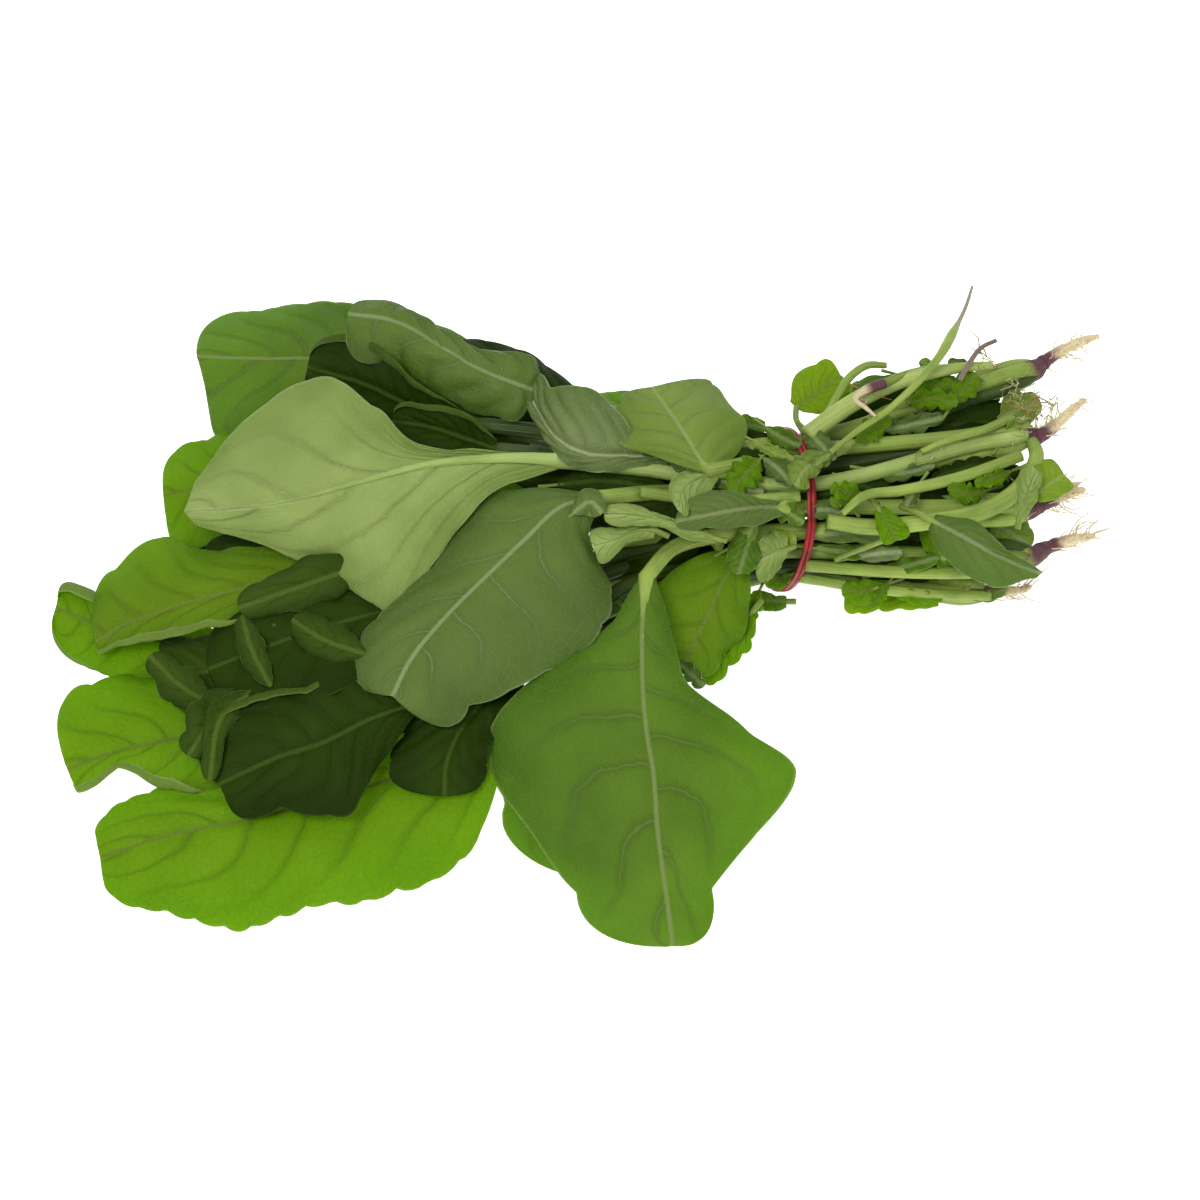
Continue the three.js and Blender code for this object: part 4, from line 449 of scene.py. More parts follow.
def seen(places):
    """The points that are seen at (across, up) and are `height` above the table."""
    across, up, height = np.atleast_2d(np.asarray(places, float)).T
    sin, cos = math.sin(VIEW_ELEVATION), math.cos(VIEW_ELEVATION)
    y = (up * (1 - height * sin / VIEW_DISTANCE) - height * cos) / (sin - up * cos / VIEW_DISTANCE)
    depth = VIEW_DISTANCE + y * cos - height * sin
    return np.stack([across * depth / VIEW_DISTANCE, y, height], 1)


BAND_MIDDLE = seen(BAND_CENTRE)[0]
BAND_NEAR = TO_VIEWER - BAND_LEAN * LEAFWARDS


def slot_point(slot):
    """A stalk's place in the tie's leaning plane: 0 degrees is towards the viewer, 90 up in the view."""
    ring, degrees = slot
    angle = math.radians(degrees)
    return BAND_MIDDLE + SLOT_RING_RADIUS[ring] * (math.sin(angle) * VIEW_UP + math.cos(angle) * BAND_NEAR)


def unit(vectors):
    return vectors / np.maximum(np.linalg.norm(vectors, axis=-1, keepdims=True), TINY)


def path_length(points):
    return np.linalg.norm(np.diff(points, axis=0), axis=1).sum()


def spline(points, t):
    """A centripetal Catmull-Rom curve through the points, at t from 0 to 1."""
    p = np.asarray(points, float)
    last = len(p) - 1
    place = np.clip(np.asarray(t, float), 0, 1) * last
    i = np.minimum(place.astype(int), last - 1)
    w = (place - i)[..., None]
    padded = np.vstack([2 * p[0] - p[1], p, 2 * p[-1] - p[-2]])
    p0, p1, p2, p3 = (padded[i + k] for k in range(4))
    span = lambda a, b: np.maximum(((b - a) ** 2).sum(-1, keepdims=True), TINY) ** 0.25
    d0, d1, d2 = span(p0, p1), span(p1, p2), span(p2, p3)
    leave = ((p1 - p0) / d0 - (p2 - p0) / (d0 + d1) + (p2 - p1) / d1) * d1
    reach = ((p2 - p1) / d1 - (p3 - p1) / (d1 + d2) + (p3 - p2) / d2) * d1
    square = -3 * p1 + 3 * p2 - 2 * leave - reach
    cube = 2 * p1 - 2 * p2 + leave + reach
    return p1 + leave * w + square * w**2 + cube * w**3


def crown_frame(name):
    """The crown's face, the way that its stalks leave it, and each leaf's seat on it."""
    own = [leaf for leaf in BUNCH_LEAVES if leaf["crown"] == name]
    slots = np.array([slot_point(leaf["slot"]) for leaf in own])
    centroid = slots.mean(0)
    face = seen(CROWNS[name][0])[0]
    axis = unit(centroid - face)
    side = unit(np.cross(TABLE_UP, axis))
    rise = np.cross(axis, side)
    bearing = np.arctan2((slots - centroid) @ rise, (slots - centroid) @ side)
    around = sorted(range(len(own)), key=lambda i: bearing[i])
    step = TURN / len(own)
    start = np.angle(sum(np.exp(1j * (bearing[i] - k * step)) for k, i in enumerate(around)))
    seats = {}
    for k, i in enumerate(around):
        angle = start + k * step
        seats[own[i]["name"]] = face + SEAT_RADIUS * (math.cos(angle) * side + math.sin(angle) * rise)
    return face, axis, seats


# A stalk's way: where it starts in its crown in millimetres and shares, and how strongly its bends are pulled
HEART_DEPTH = 6.5
HEART_SPREAD = 0.12
FOOT_DEPTH = 0.15
FOOT_INWARD = 0.45
BEND_PLACE = 0.25  # of the way between crown and tie, from either end
BEND_PAST_TIE = 0.4
PULL_AT_CROWN = 0.6
PULL_INTO_TIE = 0.25
PULL_PAST_TIE = 0.5


def eased(start, end, share, away, pull):
    """A place `share` of the way to the end, pulled towards the line that leaves the start along `away`."""
    place = start + share * (end - start)
    return place + pull * (start + share * np.linalg.norm(end - start) * away - place)


def stalk_points(leaf, blade_base):
    """The stalk's middle line, from inside its crown through the tie to the blade."""
    own = seen(leaf["stalk"]) if len(leaf["stalk"]) else np.zeros((0, 3))
    if "crown" not in leaf:
        return np.vstack([own, blade_base])
    face, axis, seats = CROWN_FRAMES[leaf["crown"]]
    seat = seats[leaf["name"]]
    heart = face + HEART_SPREAD * (seat - face) - HEART_DEPTH * axis
    foot = seat + FOOT_INWARD * (face - seat) - FOOT_DEPTH * axis
    slot = slot_point(leaf["slot"])
    onward = own[0] if len(own) else blade_base
    early = eased(foot, slot, BEND_PLACE, axis, PULL_AT_CROWN)
    late = eased(slot, foot, BEND_PLACE, -LEAFWARDS, PULL_INTO_TIE)
    leave = eased(slot, onward, BEND_PAST_TIE, LEAFWARDS, PULL_PAST_TIE)
    return np.vstack([heart, foot, early, late, slot, leave, own, blade_base])


# The bundle's near side, as the height of the stalks' tops at the tie and at the crowns
TIE_SIDE = 50  # across, near the tie
CROWN_SIDE = 105  # across, at the crowns
CROWN_TOPS = ([-5, 2.5, 11.5, 23.5, 42, 58], [6, 11, 22, 31, 39, 40])  # up, height
LOWEST_ON_BUNDLE = 2.5
STEEPEST = 0.95
RISE_OF_UP, RISE_OF_NEAR = 0.574, 0.819  # how far the view's up and near directions rise from the table


def on_bundle(across, up, lift):
    """A place `lift` above the stalks on the side that faces the viewer, as (across, up, height)."""
    sine = np.clip((up - BAND_CENTRE[1]) / BAND_INNER_RADIUS, -STEEPEST, STEEPEST)
    rise = RISE_OF_UP * sine + RISE_OF_NEAR * math.sqrt(1 - sine**2)
    at_tie = BAND_CENTRE[2] + BAND_INNER_RADIUS * rise
    share = np.clip((across - TIE_SIDE) / (CROWN_SIDE - TIE_SIDE), 0, 1)
    height = at_tie * (1 - share) + np.interp(up, *CROWN_TOPS) * share + lift
    return across, up, max(height, LOWEST_ON_BUNDLE)


def outline(leaf):
    """The points along the leaf's rib and its left and right margins."""
    if "left" in leaf:
        return seen(leaf["rib"]), seen(leaf["left"]), seen(leaf["right"])
    if "bit" in leaf:
        rib = spline(seen(leaf["bit"]), PLAIN_STATIONS)
        crosswise = leaf["half"] * BIT_WIDTH[:, None] * unit(np.cross(np.gradient(rib, axis=0), TO_VIEWER))
        hang = (leaf["droop"] * leaf["half"] * BIT_WIDTH)[:, None] * TO_VIEWER
        return rib, rib - crosswise - hang, rib + crosswise - hang
    base, tip = np.array(leaf["base"], float), np.array(leaf["tip"], float)
    along = tip - base
    rightward = unit(np.cross(along, TABLE_UP))
    rib = base + PLAIN_STATIONS[:, None] * along
    rib[:, 2] += PLAIN_ARCH * np.linalg.norm(along) * np.sin(np.pi * PLAIN_STATIONS)
    margins = []
    for sign in (-1, 1):
        out = rib + sign * leaf["half"] * PLAIN_WIDTH[:, None] * rightward
        hang = out[:, 2] * (1 - leaf["droop"]) - PLAIN_SAG * leaf["half"] * PLAIN_WIDTH
        out[:, 2] = np.maximum(hang, PLAIN_LOWEST)
        margins.append(out)
    return rib, margins[0], margins[1]


# The relief of a blade in millimetres, and the millimetres of rib to a radian of each wave
RUFFLE = 1.1
RUFFLE_RATE = (17.0, 14.0)  # of the left and the right half, in radians along the blade
FINE_RUFFLE = 0.55
FINE_RUFFLE_LENGTH = 2.1
SWAY = 0.45
SWAY_LENGTH = 6.1
FINE_NOTCH = 0.3
FINE_NOTCH_LENGTH = 2.3
SIDE_SHIFT = (0.0, 1.3)  # keeps the waves of the two halves apart
PUFF = 0.16  # how far each half bulges, as a share of its width
VALLEY_DEPTH = 0.6  # along the rib
VALLEY_WIDTH = 1.5
CURL_ANGLE = 2.9
CURL_RISE = 0.55
TIGHTEST_CURL = 0.45
CREST = 0.6  # power of a sine, which broadens its crests
NOTCH_MIDDLE = 0.7
PUCKER_CREST = 0.7
PUCKER_GROWTH = 4.5
PUCKER_END = 1.04
LENGTH_SAMPLES = 60
VEIN_BEND = 0.035
VEIN_CROWDING = 0.9  # power of t: the first side veins lie closer together
VEIN_ARCH = 1.25  # power of u
VEIN_SHIFT = 0.42  # the right half's side veins leave the rib between those of the left


class Blade:
    """A leaf's blade: t runs from its base to its tip, u from -1 on the left margin to 1 on the right."""

    def __init__(self, leaf, phase):
        self.rib, self.left, self.right = outline(leaf)
        self.look = {**PLAIN_LOOK, **LOOKS.get(leaf["name"], {}), **leaf.get("look", {})}
        self.roundness = TIP_ROUNDNESS.get(leaf["name"], 1.0)
        self.phase = phase
        self.length = path_length(spline(self.rib, np.linspace(0, 1, LENGTH_SAMPLES)))

    def half(self, margin, t):
        """From the rib to a margin, with the last stretch rounded off into the tip."""
        last = len(self.rib) - 1
        half = spline(margin, t) - spline(self.rib, t)
        place = np.clip(t * last - (last - 1), 0, 1)[:, None]
        station = np.array([(last - 1) / last])
        before = spline(margin, station) - spline(self.rib, station)
        at_tip = margin[-1] - self.rib[-1]
        rounded = before * np.sqrt(1 - place**2) + at_tip * place
        return np.where(place > 0, half + self.roundness * (rounded - half), half)

    def vein_place(self, t, u):
        """Whole numbers lie on the side veins, which arch forward from the rib."""
        q = np.abs(u)
        bend = VEIN_BEND * np.sin(7 * t + 4 * q + self.phase)
        w = self.look["veins"] * (t**VEIN_CROWDING - self.look["sweep"] * q**VEIN_ARCH + bend)
        return w + np.where(u > 0, VEIN_SHIFT, 0.0) + 3

    def curled(self, t, u, size):
        """How far out each place comes once the margins are curled, and how far it rises with them."""
        q = np.abs(u)[None, :]
        out, roll = np.broadcast_to(q, size.shape).copy(), np.zeros(size.shape)
        for which, start, end, radius, share in self.look["curls"]:
            window = np.sin(np.pi * np.clip((t - start) / (end - start), 0, 1))[:, None] ** CREST
            window = window * (np.sign(u) == which)[None, :]
            turned = 1 - share * window
            tight = np.minimum(window * radius / np.maximum(size, 0.1),
                               TIGHTEST_CURL * np.maximum(window, 1e-9))
            angle = np.clip((q - turned) / np.maximum(1 - turned, 1e-9), 0, 1) * (window > 1e-6)
            angle = CURL_ANGLE * angle
            rolled = 1 - tight + tight * np.sin(angle)
            out = np.where(window > 1e-6, np.where(q < turned, q / turned * (1 - tight), rolled), out)
            roll = roll + np.where(q > turned, CURL_RISE * tight * size * (1 - np.cos(angle)), 0)
        return out, roll

    def grid(self, t, u):
        """Points for every t (rows) and u (columns), and the height of the veins' relief."""
        left, right = self.half(self.left, t), self.half(self.right, t)
        half = np.where((u < 0)[None, :, None], left[:, None, :], right[:, None, :])
        size = np.linalg.norm(half, axis=2)
        along = (t * self.length)[:, None]
        taper = np.sin(np.pi * np.clip(t, 0, 1))[:, None] ** CREST
        side = np.where(u < 0, *SIDE_SHIFT)[None, :]
        notch_turn = np.pi * along / self.look["notch_length"] + self.phase + side
        notches = np.abs(np.sin(notch_turn)) ** CREST - NOTCH_MIDDLE
        fine_notches = FINE_NOTCH * np.sin(along / FINE_NOTCH_LENGTH + 2 * self.phase + side)
        edge = self.look["notch"] * notches + fine_notches
        stretch = 1 + edge * taper * u[None, :] ** 2 / np.maximum(size, 1)
        out, roll = self.curled(t, u, size)
        points = spline(self.rib, t)[:, None, :] + half * (out * stretch)[:, :, None]
        puff = PUFF * size * out * (1 - out)
        turn = np.where(u < 0, *RUFFLE_RATE)[None, :] * t[:, None] + self.phase
        ruffle = RUFFLE * out**2 * np.sin(turn) * np.sin(np.pi * t)[:, None]
        fine_turn = along / FINE_RUFFLE_LENGTH + 3 * self.phase + side
        ruffle = ruffle + FINE_RUFFLE * self.look["wave"] * out**4 * np.sin(fine_turn) * taper
        sway = SWAY * np.sin(along / SWAY_LENGTH + 5 * u[None, :] + self.phase) * out * taper
        fold = np.where(u < 0, *self.look["fold"])[None, :] * out**1.3 * taper
        puckers = np.abs(np.sin(np.pi * self.vein_place(t[:, None], u[None, :]))) ** PUCKER_CREST
        held_flat = np.clip(PUCKER_GROWTH * out * (PUCKER_END - out), 0, 1)
        pucker = self.look["relief"] * puckers * held_flat * taper
        valley = -VALLEY_DEPTH * np.exp(-((out * size / VALLEY_WIDTH) ** 2)) * taper
        points = points + (puff + ruffle + sway + fold + roll)[:, :, None] * TO_VIEWER
        return points, pucker + valley


GROOVE_WIDTH = 0.5  # radians
STALK_GROOVE = 0.16  # depths, as shares of the radius
STRAND_GROOVE = 0.1
STRAND_STEPS = 12  # between two points
ROUND_MAP = 12  # what the map's first coordinate grows to once round a strand


def sweep(centres, radii, up, sides, groove=0.0):
    """A round strand about a line of centres, with closed ends. `up` is its upper side at the last one."""
    centres = np.asarray(centres, float)
    radii = np.broadcast_to(radii, len(centres))
    tangents = unit(np.gradient(centres, axis=0))
    ups = np.zeros_like(centres)
    current = np.asarray(up, float)
    for i in range(len(centres) - 1, -1, -1):
        current = unit(current - (current @ tangents[i]) * tangents[i])
        ups[i] = current
    rights = np.cross(tangents, ups)
    angles = TURN * np.arange(sides) / sides
    shape = 1 - groove * np.exp(-(((angles - np.pi / 2) / GROOVE_WIDTH) ** 2))
    ring = (radii[:, None] * shape)[:, :, None]
    spokes = (np.cos(angles)[None, :, None] * rights[:, None, :]
              + np.sin(angles)[None, :, None] * ups[:, None, :])
    vertices = (centres[:, None, :] + ring * spokes).reshape(-1, 3)
    vertices = np.concatenate([vertices, centres[:1], centres[-1:]])
    rows = len(centres)
    i, j = np.meshgrid(np.arange(rows - 1), np.arange(sides), indexing="ij")
    steps = ((0, 0), (1, 0), (1, 1), (0, 1))
    walls = np.stack([(i + a) * sides + (j + b) % sides for a, b in steps], -1).reshape(-1, 4)
    corner_places = [np.stack([(j + b) / sides, (i + a) / rows], -1) for a, b in steps]
    wall_places = np.stack(corner_places, -2).reshape(-1, 4, 2)
    ring, after = np.arange(sides), (np.arange(sides) + 1) % sides
    centre, last = np.full(sides, rows * sides), (rows - 1) * sides
    caps = np.concatenate([np.stack([centre, ring, after], 1),
                           np.stack([centre + 1, last + after, last + ring], 1)])
    cap_places = np.zeros((2 * sides, 3, 2))
    cap_places[sides:, :, 1] = 1
    return vertices, [(walls, wall_places), (caps, cap_places)]


class Shape:
    """Vertices and faces with their material numbers and two sets of map coordinates, for one object."""

    def __init__(self):
        self.vertices, self.loops, self.sizes, self.slots, self.maps = [], [], [], [], ([], [])
        self.count = 0

    def add(self, vertices, groups, slot, scale=(1, 1)):
        """Each group of faces is (corners, coordinates), or also has second coordinates and an own slot."""
        self.vertices.append(np.asarray(vertices, float).reshape(-1, 3))
        for corners, first, *more in groups:
            self.loops.append(self.count + corners.ravel())
            self.sizes.append(np.full(len(corners), corners.shape[1]))
            self.slots.append(np.broadcast_to(more[1] if more else slot, len(corners)))
            self.maps[0].append((first * scale).reshape(-1, 2))
            self.maps[1].append((more[0] if more else first).reshape(-1, 2))
        self.count += len(self.vertices[-1])

    def join(self, other):
        self.vertices += other.vertices
        self.loops += [loops + self.count for loops in other.loops]
        self.sizes += other.sizes
        self.slots += other.slots
        for own, more in zip(self.maps, other.maps):
            own += more
        self.count += other.count

    def strand(self, line, radii, sides, slot):
        """A grooved strand along a line of points, with the radii spread evenly along it."""
        t = np.linspace(0, 1, STRAND_STEPS * (len(line) - 1) + 1)
        widths = np.interp(t, np.linspace(0, 1, len(radii)), radii)
        centres = spline(line, t)
        vertices, groups = sweep(centres, widths, STRAND_UP, sides, groove=STRAND_GROOVE)
        self.add(vertices, groups, slot, (ROUND_MAP, path_length(centres)))

    def make(self, name, materials):
        mesh = bpy.data.meshes.new(name)
        vertices = (np.concatenate(self.vertices) - FRAME_MIDDLE) * MM
        vertices[:, 2] = np.maximum(vertices[:, 2], 0)
        loops, sizes = np.concatenate(self.loops), np.concatenate(self.sizes)
        mesh.vertices.add(len(vertices))
        mesh.vertices.foreach_set("co", vertices.ravel())
        mesh.loops.add(len(loops))
        mesh.loops.foreach_set("vertex_index", loops)
        mesh.polygons.add(len(sizes))
        mesh.polygons.foreach_set("loop_start", np.concatenate([[0], np.cumsum(sizes)[:-1]]))
        mesh.update(calc_edges=True)
        for material in materials:
            mesh.materials.append(material)
        mesh.polygons.foreach_set("material_index", np.concatenate(self.slots))
        mesh.polygons.foreach_set("use_smooth", np.ones(len(sizes), bool))
        for title, values in zip(("sheet", "vein"), self.maps):
            layer = mesh.uv_layers.new(name=title)
            layer.uv.foreach_set("vector", np.concatenate(values).astype(np.float32).ravel())
        mesh.validate()
        piece = bpy.data.objects.new(name, mesh)
        bpy.context.scene.collection.objects.link(piece)
        return piece


RING_CROWDING = 1.35  # power that brings the rings closer towards the tip
EDGE_THINNING = 0.55  # share of the thickness that is gone at the margin
EDGE_POWER = 6


def blade_shape(shape, blade, facing, columns, rings):
    """The blade as a closed thin shell. Its two faces have the same triangles."""
    t = 1 - (1 - np.linspace(0, 1, rings + 1)) ** RING_CROWDING
    u = np.linspace(-1, 1, 2 * columns + 1)
    points, relief = blade.grid(t, u)
    normals = unit(np.cross(np.gradient(points, axis=1), np.gradient(points, axis=0)))
    points = points + (facing * relief)[:, :, None] * normals
    thick = BLADE_THICKNESS * (1 - EDGE_THINNING * np.abs(u) ** EDGE_POWER)
    offset = (0.5 * thick)[None, :, None] * normals
    rows, width = len(t), len(u)
    vertices = np.concatenate([(points + offset).reshape(-1, 3), (points - offset).reshape(-1, 3)])
    under = rows * width
    slots = (0, 1) if facing > 0 else (1, 0)
    groups = []
    for side, first, last, margin in ((-1, 0, columns, blade.left), (1, columns, 2 * columns, blade.right)):
        own_u = u[first:last + 1].copy()
        own_u[np.abs(own_u) < 1e-9] = side * 1e-6
        size = np.linalg.norm(blade.half(margin, t), axis=1)
        sheet = np.stack(np.broadcast_arrays(size[:, None] * own_u, (t * blade.length)[:, None]), -1)
        veins = blade.vein_place(t[:, None], own_u[None, :])
        vein = np.stack(np.broadcast_arrays(veins, np.abs(own_u)[None, :]), -1)
        i, j = np.meshgrid(np.arange(rows - 1), np.arange(columns), indexing="ij")
        i, j = i.ravel(), j.ravel()

        def faces(corners, layers, slot):
            index = [layer * under + a * width + first + b for layer, (a, b) in zip(layers, corners)]
            spots = [np.stack([grid[a, b] for a, b in corners], 1) for grid in (sheet, vein)]
            groups.append((np.stack(index, 1), spots[0], spots[1], slot))

        square = [(i, j), (i, j + 1), (i + 1, j + 1), (i + 1, j)]
        faces(square, (0, 0, 0, 0), slots[0])
        faces(square[::-1], (1, 1, 1, 1), slots[1])
        down, edge = np.arange(rows - 1), np.full(rows - 1, 0 if side < 0 else columns)
        strip = [(down, edge), (down + 1, edge), (down + 1, edge), (down, edge)]
        faces(strip[::-side], (0, 0, 1, 1)[::-side], slots[0])
        over = np.arange(columns)
        start, end = np.zeros_like(over), np.full_like(over, rows - 1)
        faces([(start, over + 1), (start, over), (start, over), (start, over + 1)], (0, 0, 1, 1), slots[0])
        faces([(end, over), (end, over + 1), (end, over + 1), (end, over)], (0, 0, 1, 1), slots[0])
    shape.add(vertices, groups, 0)
    return t, points, normals


class Material:
    """A node material, built up from its coordinates to its shader."""

    def __init__(self, name):
        self.data = bpy.data.materials.new(name)
        self.data.use_nodes = True
        self.tree = self.data.node_tree
        self.tree.nodes.clear()
        self.output = self.tree.nodes.new("ShaderNodeOutputMaterial")

    def node(self, kind, inputs=(), **settings):
        node = self.tree.nodes.new("ShaderNode" + kind)
        for key, value in settings.items():
            setattr(node, key, value)
        pairs = inputs.items() if isinstance(inputs, dict) else enumerate(inputs)
        for key, value in pairs:
            if isinstance(value, bpy.types.NodeSocket):
                self.tree.links.new(value, node.inputs[key])
            else:
                node.inputs[key].default_value = value
        return node

    def math(self, operation, *values):
        return self.node("Math", values, operation=operation).outputs[0]

    def times(self, value, factor):
        return self.math("MULTIPLY", value, factor)

    def plus(self, first, second):
        return self.math("ADD", first, second)

    def map(self, title):
        """The two coordinates of a map."""
        vector = self.node("UVMap", uv_map=title).outputs[0]
        return self.node("SeparateXYZ", [vector]).outputs[:2]

    def place(self, x, y):
        return self.node("CombineXYZ", [x, y, 0.0]).outputs[0]

    def noise(self, vector, scale, detail=2.0, roughness=0.5):
        inputs = {"Vector": vector, "Scale": scale, "Detail": detail, "Roughness": roughness}
        return self.node("TexNoise", inputs).outputs[0]

    def fade(self, value, start, end):
        """1 where value is at or below start, 0 at or above end."""
        inputs = {"Value": value, "From Min": start, "From Max": end, "To Min": 1.0, "To Max": 0.0}
        return self.node("MapRange", inputs, interpolation_type="SMOOTHSTEP").outputs[0]

    def mix(self, share, first, second):
        """From the first colour to the second; a colour is a socket or light in three numbers."""
        tones = {key: value if isinstance(value, bpy.types.NodeSocket) else (*value, 1)
                 for key, value in ((6, first), (7, second))}
        return self.node("Mix", {0: share, **tones}, data_type="RGBA").outputs[2]

    def tinged(self, base, *marks):
        """The base with marks laid over it, each a (mask, share, colour)."""
        for mask, share, tone in marks:
            base = self.mix(self.times(mask, share), base, tone)
        return base

    def bump(self, height, distance):
        return self.node("Bump", {"Height": height, "Distance": distance}).outputs[0]

    def skin(self, base, roughness, bump, specular, **more):
        inputs = {"Base Color": base, "Roughness": roughness, "Normal": bump, "Specular IOR Level": specular}
        return self.node("BsdfPrincipled", {**inputs, **more}).outputs[0]

    def finish(self, shader):
        self.tree.links.new(shader, self.output.inputs["Surface"])
        return self.data


def colour(red, green, blue):
    """A screen's colour, 0 to 255, as light: the sRGB rule."""
    shares = (v / 255 for v in (red, green, blue))
    return tuple(((v + 0.055) / 1.055) ** 2.4 if v > 0.04045 else v / 12.92 for v in shares)


PURPLE = colour(96, 58, 68)

# Where a blade's marks end. Side veins: distance in shares of their spacing, and reach from rib to margin
VEIN_EDGE = (0.006, 0.035)
VEIN_REACH = (0.15, 0.85)
TROUGH_EDGE = (0.0, 0.17)  # the shaded ground beside a vein
TROUGH_REACH = (0.4, 1.05)
RIB_EDGE = (0.3, 0.8)  # millimetres from its middle line
NET_SCALE = 0.42  # the finest veins, in cells per millimetre
NET_EDGE = (0.0, 0.13)
# The pale line painted along each margin as a highlight
RIM_HIGHLIGHT_EDGE = (0.0, 0.03)
BLADE_BUMP = 0.00028


def blade_material(name, tones, vein_share, roughness=0.5, see_through=0.5, shine=0.1, under=False):
    """A veined blade. Its tones are light, deep, vein, and the glow of the light that shines through."""
    light, deep, vein, glow = (colour(*tone) for tone in tones)
    m = Material(name)
    across, along = m.map("sheet")
    vein_number, outward = m.map("vein")
    flat = m.place(across, along)
    wobble = m.times(m.noise(flat, 0.16), 0.22)
    near = m.math("PINGPONG", m.plus(vein_number, wobble), 0.5)
    side = m.times(m.fade(near, *VEIN_EDGE), m.fade(outward, *VEIN_REACH))
    # Painted shade: a darker band beside each side vein, on the surface and in the light that shines through.
    vein_shade = m.times(m.fade(near, *TROUGH_EDGE), m.fade(outward, *TROUGH_REACH))
    rib = m.fade(m.math("ABSOLUTE", across), *RIB_EDGE)
    cells = m.node("TexVoronoi", {"Vector": flat, "Scale": NET_SCALE}, feature="DISTANCE_TO_EDGE",
                   voronoi_dimensions="2D").outputs[0]
    net = m.fade(cells, *NET_EDGE)
    fine = m.noise(flat, 2.6, 3.0)
    patches = m.fade(m.noise(flat, 0.05), 0.3, 0.7)
    # Painted highlight: a pale line along each margin of the blade.
    rim_highlight = m.fade(m.math("SUBTRACT", 1.0, outward), *RIM_HIGHLIGHT_EDGE)
    # Painted shade: the blade darkens from the rib towards its margins; random patches of tone are mixed in.
    margin_shade_and_patches = m.plus(m.times(m.fade(outward, 1.0, 0.2), 0.6), m.times(patches, 0.4))
    base = m.tinged(m.mix(margin_shade_and_patches, light, deep), (vein_shade, 0.4, deep), (fine, 0.16, vein), (net, 0.1, vein),
                    (side, vein_share, vein), (rib, 0.85, vein), (rim_highlight, 0.7, vein))
    through = m.tinged(glow, (m.math("MAXIMUM", side, rib), 0.5, deep), (vein_shade, 0.25, deep),
                       (net, 0.1, deep), (m.fade(outward, 0.1, 0.9), 0.3, deep))
    height = m.plus(m.times(side, 0.9 if under else -0.3), m.times(net, 0.3 if under else -0.3))
    bump = m.bump(m.plus(height, m.times(fine, 0.35)), BLADE_BUMP)
    skin = m.skin(base, roughness, bump, shine)
    inside = m.node("BsdfTranslucent", {"Color": through, "Normal": bump}).outputs[0]
    return m.finish(m.node("MixShader", [see_through, skin, inside]).outputs[0])


def stalk_material(name, light, deep, stripe, tinged=None, tint=PURPLE):
    """Lengthwise stripes. `tinged` is where the tint is full and where it is gone, in millimetres."""
    m = Material(name)
    around, along = m.map("sheet")
    lines = m.noise(m.place(m.times(around, 1.3), m.times(along, 0.035)), 1.6, 3.0)
    patches = m.noise(m.place(around, along), 0.06, 3.0)
    base = m.mix(m.fade(patches, 0.35, 0.65), colour(*light), colour(*deep))
    base = m.tinged(base, (m.fade(lines, 0.35, 0.62), 0.28, colour(*stripe)))
    if tinged:
        base = m.mix(m.fade(along, *tinged), base, tint)
    grain = m.noise(m.place(around, along), 0.9, 3.0)
    bump = m.bump(m.plus(lines, m.times(grain, 0.4)), 0.0003)
    soft = {"Subsurface Weight": 0.12, "Subsurface Radius": (0.001, 0.0012, 0.0004)}
    return m.finish(m.skin(base, 0.42, bump, 0.3, **soft))


def root_material(name):
    """Pale green where the stalks meet, a purple neck and a cream root, along the second coordinate."""
    m = Material(name)
    around, along = m.map("sheet")
    place = m.place(m.times(around, 6.0), m.times(along, 9.0))
    stray = m.plus(along, m.times(m.math("SUBTRACT", m.noise(place, 1.0, 3.0), 0.5), 0.2))
    base = m.mix(m.fade(stray, 0.56, 0.7), colour(224, 208, 164), PURPLE)
    base = m.mix(m.fade(stray, 0.14, 0.26), base, colour(140, 154, 74))
    grime = m.fade(m.noise(place, 2.2, 4.0, 0.65), 0.36, 0.46)
    base = m.tinged(base, (grime, 0.45, colour(120, 86, 52)))
    rings = m.noise(m.place(around, m.times(along, 40.0)), 1.4, 3.0)
    return m.finish(m.skin(base, 0.6, m.bump(rings, 0.0007), 0.3))


def band_material():
    m = Material("rubber_red")
    place = m.node("TexCoord").outputs["Object"]
    mottle = m.fade(m.noise(place, 420.0, 3.0), 0.3, 0.7)
    base = m.mix(mottle, colour(158, 14, 20), colour(108, 8, 14))
    return m.finish(m.skin(base, 0.42, m.bump(m.noise(place, 1500.0), 0.0001), 0.45))


VEIN = (166, 186, 112)
PLAIN_SHINE = 0.1
